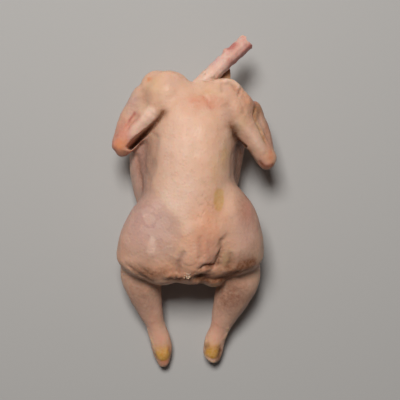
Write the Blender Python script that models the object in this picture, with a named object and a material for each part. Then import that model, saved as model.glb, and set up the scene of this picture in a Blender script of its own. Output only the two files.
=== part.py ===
"""A whole raw chicken, plucked and drawn, lying on its breast with its back up.

The bird is one solid: trunk, neck, two folded wings and two legs under one skin.
Frame: metres, +Z up, +Y from the tail to the neck, -X and +X the two sides of the bird.
The origin is on the flat patch of the breast that the bird rests on.

Each mass of the bird is a closed tube of oval rings carried along a path. The masses
are joined by a voxel remesh, the skin is drawn tight over the hollows between them,
the folds are pressed in, and what sinks below the table is cut off flat.
"""

from collections import namedtuple
import math

import bmesh
import bpy
import numpy as np

MM = 0.001

# Driving sizes of the bird, in millimetres.
BODY_DEPTH = 121.0
RIB_HALF_WIDTH = 52.0
BREAST_RADIUS = 35.0
PRESSED_FLAT = 3.5
THIGH_RADIUS = 37.0
CALF_RADIUS = 22.0
SHANK_RADIUS = 10.8
HOCK_RADIUS = 11.8
UPPER_WING_RADIUS = 13.5
FOREARM_RADIUS = 10.5
NECK_RADIUS = 10.2

# How finely the solid is worked out.
VOXEL = 3.0
SKIN_STEPS = 30
SKIN_PULL = 0.6
EVENING_STEPS = 6
TRIANGLES = 11200
RING_SIDES = 28
RINGS_PER_SPAN = 7
CAP_RINGS = 5
SMALLEST_CAP = 0.02

# One oval ring of a mass: where its middle is, and half its width and half its height.
Ring = namedtuple("Ring", "x y z half_width half_height")

# A fold of the skin: the points it runs through, its half width, and how deep it is pressed in.
Fold = namedtuple("Fold", "points half_width depth")


def spread(points, count):
    """Catmull-Rom curve through the rows of points, read at count even steps."""
    points = np.asarray(points, float)
    held = np.vstack([2 * points[0] - points[1], points, 2 * points[-1] - points[-2]])
    u = np.linspace(0, len(points) - 1, count)
    i = np.minimum(u.astype(int), len(points) - 2)
    f = (u - i)[:, None]
    a, b, c, d = held[i], held[i + 1], held[i + 2], held[i + 3]
    return b + 0.5 * f * (c - a + f * (2 * a - 5 * b + 4 * c - d + f * (3 * (b - c) + d - a)))


def unit(vectors):
    return vectors / np.linalg.norm(vectors, axis=-1, keepdims=True)


def dome(centre, size, along, bulge):
    """Rings that close a tube past one end: a quarter turn, so that they shrink as they go out."""
    rise = np.linspace(0, math.pi / 2, CAP_RINGS + 1)[1:, None]
    out = centre + along * size.mean() * bulge * np.sin(rise)
    return out, size * np.maximum(np.cos(rise), SMALLEST_CAP)


def tube(rings, square=2.0, taper=0.0, lean=0.0, domes=(1.0, 1.0)):
    """Closed tube of oval rings, as an array of rings of points.

    square above 2 flattens the sides of a ring, taper narrows its top and lean shifts its
    top to +X. domes says how far each end bulges, as a share of its radius, and 0 cuts it flat.
    """
    rows = spread(rings, RINGS_PER_SPAN * (len(rings) - 1) + 1)
    centre, size = rows[:, :3], rows[:, 3:]
    along = unit(np.gradient(centre, axis=0))
    first_centre, first_size = dome(centre[0], size[0], -along[0], domes[0])
    last_centre, last_size = dome(centre[-1], size[-1], along[-1], domes[1])
    centre = np.vstack([first_centre[::-1], centre, last_centre])
    size = np.vstack([first_size[::-1], size, last_size])
    along = np.vstack([along[:1].repeat(CAP_RINGS, 0), along, along[-1:].repeat(CAP_RINGS, 0)])
    side = unit(np.cross(along, (0, 0, 1)))
    lift = np.cross(side, along)
    turn = np.linspace(0, 2 * math.pi, RING_SIDES, endpoint=False)
    across = np.sign(np.cos(turn)) * np.abs(np.cos(turn)) ** (2 / square)
    upward = np.sign(np.sin(turn)) * np.abs(np.sin(turn)) ** (2 / square)
    across = across * (1 - taper * upward) + lean * upward
    sideways = side[:, None] * size[:, None, :1] * across[None, :, None]
    return centre[:, None] + sideways + lift[:, None] * size[:, None, 1:] * upward[None, :, None]


def ball(x, y, z, rx, ry, rz):
    """Egg-shaped mass: a short tube along Y whose two domes make it round."""
    step = 0.02 * ry
    bulge = 2 * ry / (rx + rz)
    return tube([Ring(x, y - step, z, rx, rz), Ring(x, y + step, z, rx, rz)], domes=(bulge, bulge))


def trunk():
    """Rib cage and back, from the tail to the base of the neck: a wide arch, flat on top."""
    deep, wide = BODY_DEPTH, RIB_HALF_WIDTH
    stations = (
        # y, middle x, half width, lowest line, highest line
        (-86, 0, 0.42 * wide, 0.44 * deep, 0.72 * deep),
        (-66, 1, 0.80 * wide, 0.30 * deep, 0.84 * deep),
        (-35, 0, 1.04 * wide, 0.12 * deep, 0.92 * deep),
        (0, -4, 1.02 * wide, 0.06 * deep, 0.955 * deep),
        (40, -5, 1.00 * wide, 0.08 * deep, 0.98 * deep),
        (75, -4, 0.98 * wide, 0.14 * deep, 0.97 * deep),
        (102, -1, 0.94 * wide, 0.26 * deep, 0.94 * deep),
        (117, 2, 0.72 * wide, 0.40 * deep, 0.88 * deep),
    )
    rings = [Ring(x, y, (low + high) / 2, half, (high - low) / 2) for y, x, half, low, high in stations]
    return [tube(rings, square=2.5, taper=0.10, lean=0.04, domes=(0.5, 0.35))]


def breast():
    """The two breast muscles, spread by the bird's own weight, and the keel that runs between them."""
    r = BREAST_RADIUS
    middle = r - PRESSED_FLAT
    left = [
        Ring(-30, 108, middle + 13, 0.72 * r, 0.78 * r),
        Ring(-39, 82, middle + 4, 0.97 * r, r),
        Ring(-41, 40, middle + 1, r, r),
        Ring(-35, 0, middle, 0.86 * r, r),
        Ring(-22, -36, middle + 4, 0.60 * r, 0.86 * r),
    ]
    right = [
        Ring(24, 106, middle + 13, 0.72 * r, 0.78 * r),
        Ring(24, 82, middle + 4, 0.97 * r, r),
        Ring(20, 40, middle + 1, r, r),
        Ring(16, 0, middle, 0.90 * r, r),
        Ring(10, -36, middle + 4, 0.64 * r, 0.86 * r),
    ]
    keel = [
        Ring(-3, 106, middle + 9, 0.80 * r, 0.78 * r),
        Ring(-8, 82, middle - 4, 0.74 * r, 0.74 * r),
        Ring(-10, 40, middle - 8, 0.70 * r, 0.68 * r),
        Ring(-8, 0, middle - 10, 0.66 * r, 0.68 * r),
        Ring(-5, -44, middle - 2, 0.44 * r, 0.66 * r),
    ]
    return [tube(rings, square=2.2, domes=(0.9, 0.8)) for rings in (left, right, keel)]


def crop():
    """The loose skin in front of the breast, under the neck, and its flap beside the neck."""
    flap = [Ring(14, 118, 74, 15, 8), Ring(25, 138, 69, 10, 4), Ring(28, 150, 64, 6, 3.5)]
    return [ball(0, 101, 58, 42, 30, 35), tube(flap)]


def thighs():
    """Each thigh, from the hip under the back to the knee. The right one is the fuller."""
    r = THIGH_RADIUS
    left = [
        Ring(-20, 16, 86, 0.54 * r, 0.52 * r),
        Ring(-29, -14, 77, 0.87 * r, 0.82 * r),
        Ring(-41, -45, 64, 1.02 * r, 0.99 * r),
        Ring(-46, -71, 56, 1.01 * r, 0.90 * r),
    ]
    right = [
        Ring(24, 17, 84, 0.56 * r, 0.52 * r),
        Ring(37, -12, 75, 0.92 * r, 0.84 * r),
        Ring(45, -42, 63, 1.06 * r, 0.98 * r),
        Ring(48, -62, 57, 1.05 * r, 0.88 * r),
    ]
    return [tube(left, domes=(1, 0.62)), tube(right, domes=(1, 0.58))]


def drumsticks():
    """Each drumstick, from the knee to the hock that the shank was cut from."""
    calf, shank, hock = CALF_RADIUS, SHANK_RADIUS, HOCK_RADIUS
    left = [
        Ring(-55, -56, 42, calf, calf),
        Ring(-54, -88, 38, 1.10 * calf, calf),
        Ring(-49, -111, 34, 0.90 * calf, 0.83 * calf),
        Ring(-41, -133, 27, 0.66 * calf, 0.62 * calf),
        Ring(-34, -151, 21, shank, shank),
        Ring(-27.5, -169, 16, 1.04 * hock, hock),
        Ring(-24, -190, 12.5, 0.96 * hock, 0.92 * hock),
    ]
    right = [
        Ring(58, -54, 42, calf, calf),
        Ring(61, -86, 38, 1.09 * calf, calf),
        Ring(54, -110, 34, 0.94 * calf, 0.83 * calf),
        Ring(47, -132, 27, 0.72 * calf, 0.64 * calf),
        Ring(41.5, -150, 21, 1.04 * shank, shank),
        Ring(36.5, -167, 16, 1.02 * hock, hock),
        Ring(35.5, -181, 13, 0.94 * hock, 0.92 * hock),
    ]
    return [tube(left), tube(right, domes=(1, 0.85))]


def rump():
    """The lobe of fat left of the tail, the lower one right of it, and the trimmed tail."""
    tail = [Ring(8, -34, 97, 36, 16), Ring(4, -64, 90, 24, 15), Ring(-3, -82, 80, 14, 10)]
    return [
        ball(-30, -74, 66, 28, 25, 26),
        ball(28, -84, 57, 17, 19, 20),
        ball(0, -30, 86, 60, 44, 21),
        tube(tail, domes=(1, 0.7)),
    ]


def shoulders():
    """The folded shoulders: each a broad low mass beside the neck and a lower one further out."""
    left = [ball(-33, 117, 86, 27, 27, 17), ball(-47, 121, 79, 20, 23, 16)]
    right = [ball(28, 112, 88, 27, 27, 16), ball(43, 104, 82, 20, 24, 17)]
    return left + right


def wings():
    """Both wings folded: upper arm, forearm, the web between them, and the tip underneath."""
    arm, fore = UPPER_WING_RADIUS, FOREARM_RADIUS
    left_arm = [
        Ring(-36, 110, 86, 1.30 * arm, 1.25 * arm),
        Ring(-60, 84, 77, arm, arm),
        Ring(-84, 56, 66, 0.88 * arm, arm),
    ]
    left_forearm = [
        Ring(-87, 62, 60, 0.85 * fore, fore),
        Ring(-79, 85, 66, fore, fore),
        Ring(-64, 116, 76, fore, fore),
    ]
    left_web = [Ring(-48, 116, 80, 18, 10), Ring(-66, 90, 73, 16, 7), Ring(-80, 70, 66, 9, 6)]
    left_tip = [Ring(-57, 122, 70, fore, 8.5), Ring(-67, 102, 57, 9, 7.5), Ring(-73, 84, 50, 7, 6)]
    right_arm = [
        Ring(40, 104, 88, 1.30 * arm, 1.20 * arm),
        Ring(61, 79, 77, arm, arm),
        Ring(83, 52, 64, 0.88 * arm, arm),
    ]
    right_forearm = [
        Ring(84, 56, 55, 0.85 * fore, fore),
        Ring(76, 82, 58, 0.85 * fore, fore),
        Ring(65, 112, 64, 0.75 * fore, fore),
    ]
    right_web = [Ring(48, 106, 82, 18, 11), Ring(63, 88, 70, 15, 9), Ring(78, 66, 60, 8, 7)]
    right_tip = [Ring(60, 108, 60, fore, 8.5), Ring(66, 92, 50, 8.5, 7.5), Ring(71, 76, 44, 7, 6)]
    left = (left_arm, left_forearm, left_web, left_tip)
    right = (right_arm, right_forearm, right_web, right_tip)
    return [tube(rings) for rings in left + right]


def neck():
    """The bare neck, cut off square."""
    r = NECK_RADIUS
    bone = [
        Ring(1, 108, 88, 1.5 * r, 1.4 * r),
        Ring(11, 136, 87, 1.08 * r, 1.05 * r),
        Ring(29.5, 159, 77, 0.98 * r, 0.98 * r),
        Ring(51.5, 185, 62, 1.06 * r, r),
    ]
    return [tube(bone, domes=(1, 0))]


def folds():
    """Where the skin stays folded instead of bridging the hollow under it."""
    return [
        # Below each thigh, over the top of the drumstick.
        Fold([(-80, -74, 58), (-60, -87, 66), (-40, -101, 52)], 7, 1.5),
        Fold([(80, -64, 58), (60, -80, 62), (42, -90, 56)], 7, 1.5),
        # Right of the tail, where the vent is cut.
        Fold([(15, -70, 88), (11, -88, 74), (8, -94, 62)], 7, 5.0),
        # Behind each upper arm, and along each forearm.
        Fold([(-40, 96, 92), (-62, 72, 66)], 7, 1.5),
        Fold([(40, 88, 92), (60, 66, 64)], 7, 1.5),
        Fold([(66, 100, 78), (80, 72, 66)], 6, 1.0),
        # Either side of the base of the neck.
        Fold([(-14, 134, 90), (-8, 130, 96)], 8, 1.0),
        Fold([(20, 142, 84), (14, 146, 76)], 7, 1.0),
    ]


def joined(shells):
    """One mesh of all the closed tubes, with their ends filled."""
    points, faces = [], []
    for shell in shells:
        count, sides = shell.shape[:2]
        index = len(points) + np.arange(count * sides).reshape(count, sides)
        points.extend((shell.reshape(-1, 3) * MM).tolist())
        ahead = np.roll(index, -1, axis=1)
        quads = np.stack([index[:-1], ahead[:-1], ahead[1:], index[1:]], axis=-1)
        faces.extend(quads.reshape(-1, 4).tolist())
        faces.append(index[0, ::-1].tolist())
        faces.append(index[-1].tolist())
    mesh = bpy.data.meshes.new("masses")
    mesh.from_pydata(points, [], faces)
    mesh.update()
    return mesh


def added(name, mesh):
    obj = bpy.data.objects.new(name, mesh)
    bpy.context.scene.collection.objects.link(obj)
    return obj


def one_skin(mesh):
    """The outer surface of all the masses together, as one closed mesh of even squares."""
    rough = added("rough", mesh)
    remesh = rough.modifiers.new("one skin", "REMESH")
    remesh.mode = "VOXEL"
    remesh.voxel_size = VOXEL * MM
    graph = bpy.context.evaluated_depsgraph_get()
    skin = bpy.data.meshes.new_from_object(rough.evaluated_get(graph))
    bpy.data.objects.remove(rough)
    return skin


def points_of(mesh):
    points = np.empty(len(mesh.vertices) * 3, np.float32)
    mesh.vertices.foreach_get("co", points)
    return points.reshape(-1, 3).astype(float) / MM


def set_points(mesh, points):
    mesh.vertices.foreach_set("co", (points * MM).astype(np.float32).ravel())
    mesh.update()


def normals_of(mesh):
    normals = np.empty(len(mesh.vertices) * 3, np.float32)
    mesh.vertex_normals.foreach_get("vector", normals)
    return normals.reshape(-1, 3).astype(float)


def nearness(points, fold):
    """1 on the fold, falling to 0 a few half widths away from it."""
    line = spread(fold.points, 12)
    gap = np.linalg.norm(points[:, None] - line[None], axis=2).min(axis=1)
    return np.exp(-((gap / fold.half_width) ** 2))


def draw_skin_tight(mesh):
    """Pulls each point that lies in a hollow out to the mean of its neighbours, except in the folds."""
    points = points_of(mesh)
    count = len(points)
    edges = np.empty(len(mesh.edges) * 2, np.int32)
    mesh.edges.foreach_get("vertices", edges)
    a, b = edges.reshape(-1, 2).T
    degree = np.bincount(np.concatenate([a, b]), minlength=count)[:, None]

    def towards_neighbours():
        sums = [np.bincount(a, points[b, k], count) + np.bincount(b, points[a, k], count) for k in range(3)]
        return np.stack(sums, axis=1) / degree - points

    folded = np.max([nearness(points, fold) for fold in folds()], axis=0)[:, None]
    for _ in range(SKIN_STEPS):
        set_points(mesh, points)
        pull = towards_neighbours()
        raised = np.sum(pull * normals_of(mesh), axis=1, keepdims=True)
        points = points + np.where(raised > 0, SKIN_PULL * (1 - folded) * pull, 0)
    for _ in range(EVENING_STEPS):
        points = points + 0.5 * towards_neighbours()
        points = points - 0.52 * towards_neighbours()
    set_points(mesh, points)


def press_folds(mesh):
    """Presses each fold into the skin along its inward normal."""
    points = points_of(mesh)
    depth = sum(fold.depth * nearness(points, fold) for fold in folds())
    set_points(mesh, points - normals_of(mesh) * depth[:, None])


def table_slab():
    """The table top, which cuts flat whatever is pressed into it."""
    mesh = bpy.data.meshes.new("table")
    build = bmesh.new()
    bmesh.ops.create_cube(build, size=1.0)
    build.to_mesh(mesh)
    build.free()
    slab = added("table", mesh)
    slab.location.z = -0.5
    slab.hide_render = True
    slab.display_type = "WIRE"
    return slab


def skin_material():
    """Raw, slightly wet skin: pale pink with a soft shine."""
    material = bpy.data.materials.new("skin")
    material.use_nodes = True
    shader = material.node_tree.nodes["Principled BSDF"]
    shader.inputs["Base Color"].default_value = (0.72, 0.45, 0.33, 1)
    shader.inputs["Roughness"].default_value = 0.42
    return material


def main():
    for obj in list(bpy.data.objects):
        bpy.data.objects.remove(obj)
    shells = trunk() + breast() + crop() + thighs() + drumsticks() + rump() + shoulders() + wings() + neck()
    skin = one_skin(joined(shells))
    draw_skin_tight(skin)
    press_folds(skin)
    skin.shade_smooth()
    skin.materials.append(skin_material())
    chicken = added("chicken", skin)
    fewer = chicken.modifiers.new("fewer faces", "DECIMATE")
    fewer.ratio = TRIANGLES / (2 * len(skin.polygons))
    fewer.use_collapse_triangulate = True
    flat = chicken.modifiers.new("pressed flat", "BOOLEAN")
    flat.operation = "DIFFERENCE"
    flat.solver = "EXACT"
    flat.object = table_slab()


main()
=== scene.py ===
# %% [markdown]
# # A whole raw chicken
#
# One bird, plucked and drawn, lies on its breast with its back up. Its skin is one soft closed sheet over trunk,
# wings and legs, so it can't be put together from plain solids without showing the joins. It could be sculpted by
# hand, or grown from metaballs, but neither gives sizes that can be read and changed. Here each mass of the bird is
# a profile of oval rings carried along a path, the masses are joined under one surface, and folds, lumps and
# colour zones are then worked out at every point of that surface with numpy. All sizes are in millimetres.

import functools
import itertools
import math
from collections import namedtuple

import bpy
import numpy as np
from mathutils.bvhtree import BVHTree
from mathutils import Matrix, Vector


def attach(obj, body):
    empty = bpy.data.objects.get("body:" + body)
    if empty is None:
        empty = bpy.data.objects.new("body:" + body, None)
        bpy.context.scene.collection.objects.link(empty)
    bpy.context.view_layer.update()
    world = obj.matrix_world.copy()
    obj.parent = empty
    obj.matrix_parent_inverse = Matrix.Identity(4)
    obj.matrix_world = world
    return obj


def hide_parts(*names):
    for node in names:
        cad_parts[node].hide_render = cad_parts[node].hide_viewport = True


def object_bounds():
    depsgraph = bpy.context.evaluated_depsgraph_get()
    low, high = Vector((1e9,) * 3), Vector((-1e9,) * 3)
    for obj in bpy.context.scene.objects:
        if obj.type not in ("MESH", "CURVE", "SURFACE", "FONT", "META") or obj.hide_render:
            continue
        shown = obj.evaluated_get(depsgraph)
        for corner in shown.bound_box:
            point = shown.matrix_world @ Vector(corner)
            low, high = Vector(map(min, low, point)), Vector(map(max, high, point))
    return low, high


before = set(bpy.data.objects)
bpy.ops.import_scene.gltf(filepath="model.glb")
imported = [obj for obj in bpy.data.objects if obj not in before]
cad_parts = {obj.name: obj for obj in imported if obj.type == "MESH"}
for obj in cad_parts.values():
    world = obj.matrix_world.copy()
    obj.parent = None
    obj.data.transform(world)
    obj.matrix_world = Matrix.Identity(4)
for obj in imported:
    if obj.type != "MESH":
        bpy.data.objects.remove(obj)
CAD_BOX = [list(corner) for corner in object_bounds()]
MM = 0.001
print("CAD box in mm:", [[round(c / MM, 1) for c in corner] for corner in CAD_BOX])

# %% [markdown]
# ## Rings along a path
#
# A thigh, a drumstick or a wing bone with its meat is thick in the middle and narrow at its ends. A Catmull-Rom
# curve runs through a few stations, each with its place and its half width and half height, and a ring is laid
# across the curve at every step. The curve passes through its stations, so a station can be read straight off the bird.

# %% Tubes of oval rings
RING_SIDES = 40
RINGS_PER_SPAN = 9
CAP_RINGS = 7
SMALLEST_CAP = 0.02

Ring = namedtuple("Ring", "x y z half_width half_height")


def spread(points, count):
    """Catmull-Rom curve: each span blends its two ends and the slopes that their neighbours give, as a cubic."""
    points = np.asarray(points, float)
    held = np.vstack([2 * points[0] - points[1], points, 2 * points[-1] - points[-2]])
    u = np.linspace(0, len(points) - 1, count)
    i = np.minimum(u.astype(int), len(points) - 2)
    f = (u - i)[:, None]
    a, b, c, d = held[i], held[i + 1], held[i + 2], held[i + 3]
    return b + 0.5 * f * (c - a + f * (2 * a - 5 * b + 4 * c - d + f * (3 * (b - c) + d - a)))


def unit(vectors):
    """Each vector divided by its length."""
    return vectors / np.linalg.norm(vectors, axis=-1, keepdims=True)


def cross_axes(along):
    """The level sideways direction across a path, and the direction square to both."""
    side = unit(np.cross(along, (0, 0, 1)))
    return side, np.cross(side, along)


def dome(centre, size, along, bulge):
    """Rings past a tube's end: out by the sine of a quarter turn while they shrink by its cosine."""
    rise = np.linspace(0, math.pi / 2, CAP_RINGS + 1)[1:, None]
    out = centre + along * size.mean() * bulge * np.sin(rise)
    return out, size * np.maximum(np.cos(rise), SMALLEST_CAP)


def tube(rings, square=2.0, taper=0.0, lean=0.0, domes=(1.0, 1.0)):
    """Closed tube: at turn t a ring's point is its middle + side * width * cos(t) + lift * height * sin(t).

    square above 2 flattens the ring's sides, taper narrows its top, and lean shifts its top to +X.
    domes says how far each end bulges, as a share of its radius.
    """
    rows = spread(rings, RINGS_PER_SPAN * (len(rings) - 1) + 1)
    centre, size = rows[:, :3], rows[:, 3:]
    along = unit(np.gradient(centre, axis=0))
    first_centre, first_size = dome(centre[0], size[0], -along[0], domes[0])
    last_centre, last_size = dome(centre[-1], size[-1], along[-1], domes[1])
    centre = np.vstack([first_centre[::-1], centre, last_centre])
    size = np.vstack([first_size[::-1], size, last_size])
    along = np.vstack([along[:1].repeat(CAP_RINGS, 0), along, along[-1:].repeat(CAP_RINGS, 0)])
    side, lift = cross_axes(along)
    turn = np.linspace(0, 2 * math.pi, RING_SIDES, endpoint=False)
    across = np.sign(np.cos(turn)) * np.abs(np.cos(turn)) ** (2 / square)
    upward = np.sign(np.sin(turn)) * np.abs(np.sin(turn)) ** (2 / square)
    across = across * (1 - taper * upward) + lean * upward
    sideways = side[:, None] * size[:, None, :1] * across[None, :, None]
    return centre[:, None] + sideways + lift[:, None] * size[:, None, 1:] * upward[None, :, None]


def ball(x, y, z, rx, ry, rz):
    """Egg shape: a very short tube along Y whose two domes make it round."""
    step = 0.02 * ry
    bulge = 2 * ry / (rx + rz)
    return tube([Ring(x, y - step, z, rx, rz), Ring(x, y + step, z, rx, rz)], domes=(bulge, bulge))


# %% [markdown]
# ## The trunk and the breast
#
# The back is a broad arch, almost flat between the wings, and the breast hangs under it, spread by the bird's own
# weight, with the keel between its two halves. One tube each for rib cage, left breast, right breast and keel gives
# the slight lean of the real bird, whose breast shows more on its left.

# %% Trunk, breast and crop
BODY_DEPTH = 121.0
RIB_HALF_WIDTH = 52.0
BREAST_RADIUS = 35.0
PRESSED_FLAT = 3.5


def trunk():
    """Rib cage and back, from the tail to the base of the neck: squarish rings, a little narrower on top."""
    deep, wide = BODY_DEPTH, RIB_HALF_WIDTH
    stations = (
        # y, middle x, half width, lowest line, highest line
        (-86, 0, 0.42 * wide, 0.44 * deep, 0.72 * deep),
        (-66, 1, 0.80 * wide, 0.30 * deep, 0.84 * deep),
        (-35, 0, 1.04 * wide, 0.12 * deep, 0.92 * deep),
        (0, -4, 1.02 * wide, 0.06 * deep, 0.955 * deep),
        (40, -5, 1.00 * wide, 0.08 * deep, 0.98 * deep),
        (75, -4, 0.98 * wide, 0.14 * deep, 0.97 * deep),
        (102, -1, 0.94 * wide, 0.26 * deep, 0.94 * deep),
        (117, 2, 0.72 * wide, 0.40 * deep, 0.88 * deep),
    )
    rings = [Ring(x, y, (low + high) / 2, half, (high - low) / 2) for y, x, half, low, high in stations]
    return [tube(rings, square=2.5, taper=0.10, lean=0.04, domes=(0.5, 0.35))]


def breast():
    """The two breast muscles and the keel that runs between them, each a tube from the crop to the belly."""
    r = BREAST_RADIUS
    middle = r - PRESSED_FLAT
    left = [
        Ring(-30, 108, middle + 13, 0.72 * r, 0.78 * r),
        Ring(-39, 82, middle + 4, 0.97 * r, r),
        Ring(-41, 40, middle + 1, r, r),
        Ring(-35, 0, middle, 0.86 * r, r),
        Ring(-22, -36, middle + 4, 0.60 * r, 0.86 * r),
    ]
    right = [
        Ring(24, 106, middle + 13, 0.72 * r, 0.78 * r),
        Ring(24, 82, middle + 4, 0.97 * r, r),
        Ring(20, 40, middle + 1, r, r),
        Ring(16, 0, middle, 0.90 * r, r),
        Ring(10, -36, middle + 4, 0.64 * r, 0.86 * r),
    ]
    keel = [
        Ring(-3, 106, middle + 9, 0.80 * r, 0.78 * r),
        Ring(-8, 82, middle - 4, 0.74 * r, 0.74 * r),
        Ring(-10, 40, middle - 8, 0.70 * r, 0.68 * r),
        Ring(-8, 0, middle - 10, 0.66 * r, 0.68 * r),
        Ring(-5, -44, middle - 2, 0.44 * r, 0.66 * r),
    ]
    return [tube(rings, square=2.2, domes=(0.9, 0.8)) for rings in (left, right, keel)]


def crop():
    """The loose skin in front of the breast, under the neck."""
    return [ball(0, 101, 58, 42, 30, 35)]


def nape():
    """The skin that still covers the base of the neck, and the flat web of it between neck and right shoulder."""
    sleeve = [Ring(-2, 104, 87, 18, 13), Ring(3, 120, 86.5, 15, 12), Ring(8, 132, 86, 11.5, 10.8)]
    return [tube(sleeve, domes=(1, 0.2)), ball(17, 115, 88, 26, 21, 14), ball(-15, 113, 88, 23, 20, 14)]


masses = trunk() + breast() + crop() + nape()
print("trunk and breast:", len(masses), "tubes")

# %% [markdown]
# ## The legs and the rump
#
# Each thigh swells from the hip to the knee and stands proud of the back. The drumstick leaves it under a deep
# crease and tapers to the hock, where the shank was cut off. The trimmed tail sits between two lobes of fat.
# The paths differ from left to right, because no bird lies quite straight.

# %% Thighs, drumsticks and rump
THIGH_RADIUS = 37.0
CALF_RADIUS = 22.0
SHANK_RADIUS = 10.8
HOCK_RADIUS = 11.8


def thighs():
    """Each thigh, from the hip under the back to the knee."""
    r = THIGH_RADIUS
    left = [
        Ring(-20, 16, 86, 0.54 * r, 0.52 * r),
        Ring(-29, -14, 77, 0.87 * r, 0.82 * r),
        Ring(-41, -45, 64, 1.02 * r, 0.99 * r),
        Ring(-46, -71, 56, 1.01 * r, 0.90 * r),
    ]
    right = [
        Ring(24, 17, 84, 0.56 * r, 0.52 * r),
        Ring(37, -12, 75, 0.92 * r, 0.84 * r),
        Ring(45, -42, 63, 1.06 * r, 0.98 * r),
        Ring(48, -62, 57, 1.05 * r, 0.88 * r),
    ]
    return [tube(left, domes=(1, 0.62)), tube(right, domes=(1, 0.58))]


def drumsticks():
    """Each drumstick, from the knee to the hock."""
    calf, shank, hock = CALF_RADIUS, SHANK_RADIUS, HOCK_RADIUS
    left = [
        Ring(-55, -56, 42, calf, calf),
        Ring(-54, -88, 38, 1.10 * calf, calf),
        Ring(-49, -111, 34, 0.90 * calf, 0.83 * calf),
        Ring(-41, -133, 27, 0.66 * calf, 0.62 * calf),
        Ring(-34, -151, 21, shank, shank),
        Ring(-27.5, -169, 16, 1.04 * hock, hock),
        Ring(-24.5, -184, 13.2, 0.98 * hock, 0.94 * hock),
        Ring(-22.5, -193.5, 11.5, 0.68 * hock, 0.72 * hock),
    ]
    right = [
        Ring(58, -54, 42, calf, calf),
        Ring(61, -86, 38, 1.09 * calf, calf),
        Ring(54, -110, 34, 0.94 * calf, 0.83 * calf),
        Ring(47, -132, 27, 0.72 * calf, 0.64 * calf),
        Ring(41.5, -150, 21, 1.04 * shank, shank),
        Ring(36.5, -167, 16, 1.02 * hock, hock),
        Ring(35.5, -179, 13.4, 0.97 * hock, 0.92 * hock),
        Ring(36.5, -185, 12.2, 0.76 * hock, 0.80 * hock),
    ]
    return [tube(left), tube(right, domes=(1, 0.85))]


def rump():
    """The lobe of fat left of the tail, the lower one right of it, and the trimmed tail."""
    tail = [Ring(8, -34, 97, 36, 16), Ring(4, -64, 90, 24, 15), Ring(-3, -82, 80, 14, 10)]
    return [
        ball(-30, -74, 66, 28, 25, 26),
        ball(29, -81, 59, 16, 17, 19),
        ball(0, -30, 86, 60, 44, 21),
        tube(tail, domes=(1, 0.7)),
    ]


masses += thighs() + drumsticks() + rump()
print("with legs and rump:", len(masses), "tubes")

# %% [markdown]
# ## The wings
#
# Both wings are folded tight: the upper arm runs back and out from the shoulder to the elbow, the forearm comes
# forward again along the outside, a web of skin fills the angle between them, and the tip is tucked underneath.
# Each of these is a tube or a flat tube, so the groove between the two bones comes by itself.

# %% Shoulders and wings
UPPER_WING_RADIUS = 13.5
FOREARM_RADIUS = 10.5


def shoulders():
    """The folded shoulders: each a broad low mass beside the neck and a lower one further out."""
    left = [ball(-33, 117, 86, 27, 27, 17), ball(-47, 121, 79, 20, 23, 16)]
    right = [ball(28, 112, 88, 27, 27, 16), ball(43, 104, 82, 20, 24, 17)]
    return left + right


def wings():
    """Upper arm, forearm, web and tip of each wing."""
    arm, fore = UPPER_WING_RADIUS, FOREARM_RADIUS
    left_arm = [
        Ring(-36, 110, 86, 1.30 * arm, 1.25 * arm),
        Ring(-59, 84, 78, 0.92 * arm, 0.98 * arm),
        Ring(-84, 56, 66, 0.88 * arm, arm),
    ]
    left_forearm = [
        Ring(-87, 62, 60, 0.85 * fore, fore),
        Ring(-79, 85, 66, fore, fore),
        Ring(-64, 116, 76, fore, fore),
    ]
    left_web = [Ring(-48, 116, 80, 18, 10), Ring(-67, 91, 71, 15, 7), Ring(-80, 71, 64, 9, 6)]
    left_tip = [Ring(-57, 122, 70, fore, 8.5), Ring(-67, 102, 57, 9, 7.5), Ring(-73, 84, 50, 7, 6)]
    right_arm = [
        Ring(40, 104, 88, 1.30 * arm, 1.20 * arm),
        Ring(61, 79, 77, arm, arm),
        Ring(83, 52, 64, 0.88 * arm, arm),
    ]
    right_forearm = [
        Ring(84, 56, 58, 0.85 * fore, fore),
        Ring(76, 82, 62, 0.87 * fore, fore),
        Ring(65, 109, 67, 0.75 * fore, fore),
    ]
    right_web = [Ring(48, 106, 82, 18, 11), Ring(63, 88, 70, 15, 9), Ring(78, 66, 60, 8, 7)]
    right_tip = [Ring(60, 108, 60, fore, 8.5), Ring(66, 92, 50, 8.5, 7.5), Ring(71, 76, 44, 7, 6)]
    left = (left_arm, left_forearm, left_web, left_tip)
    right = (right_arm, right_forearm, right_web, right_tip)
    return [tube(rings) for rings in left + right]


masses += shoulders() + wings()
print("with wings:", len(masses), "tubes")

# %% [markdown]
# ## One skin over all the masses
#
# A Boolean union would leave a hard line wherever two masses meet. A voxel remesh gives one closed surface of even
# squares instead, and then the skin is drawn tight: a point that lies in a hollow moves out to the mean of its
# neighbours, and a point on a hump stays. Repeated, this bridges the hollows as real skin does, and the folds where
# the skin goes in on the bird are left out of it. One Catmull-Clark subdivision then makes it fine enough for detail.

# %% Join the masses and draw the skin tight
VOXEL = 2.9
SKIN_STEPS = 25
SKIN_PULL = 0.6
EVENING_STEPS = 6

Fold = namedtuple("Fold", "points half_width")

HELD_FOLDS = [
    Fold([(-80, -74, 58), (-60, -87, 66), (-40, -101, 52)], 7),
    Fold([(80, -64, 58), (60, -80, 62), (42, -90, 56)], 7),
    Fold([(15, -70, 88), (11, -88, 74), (8, -94, 62)], 7),
    Fold([(-37, 98, 96), (-50, 79, 84), (-58, 68, 72), (-63, 60, 60)], 8),
    Fold([(38, 92, 97), (47, 75, 86), (57, 65, 72), (62, 58, 60)], 8),
    Fold([(66, 100, 78), (80, 72, 66)], 6),
    Fold([(-54, 97, 86), (-65, 90, 80), (-73, 82, 75), (-79, 74, 70)], 5),
    Fold([(-14, 134, 90), (-8, 130, 96)], 8),
]


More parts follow.
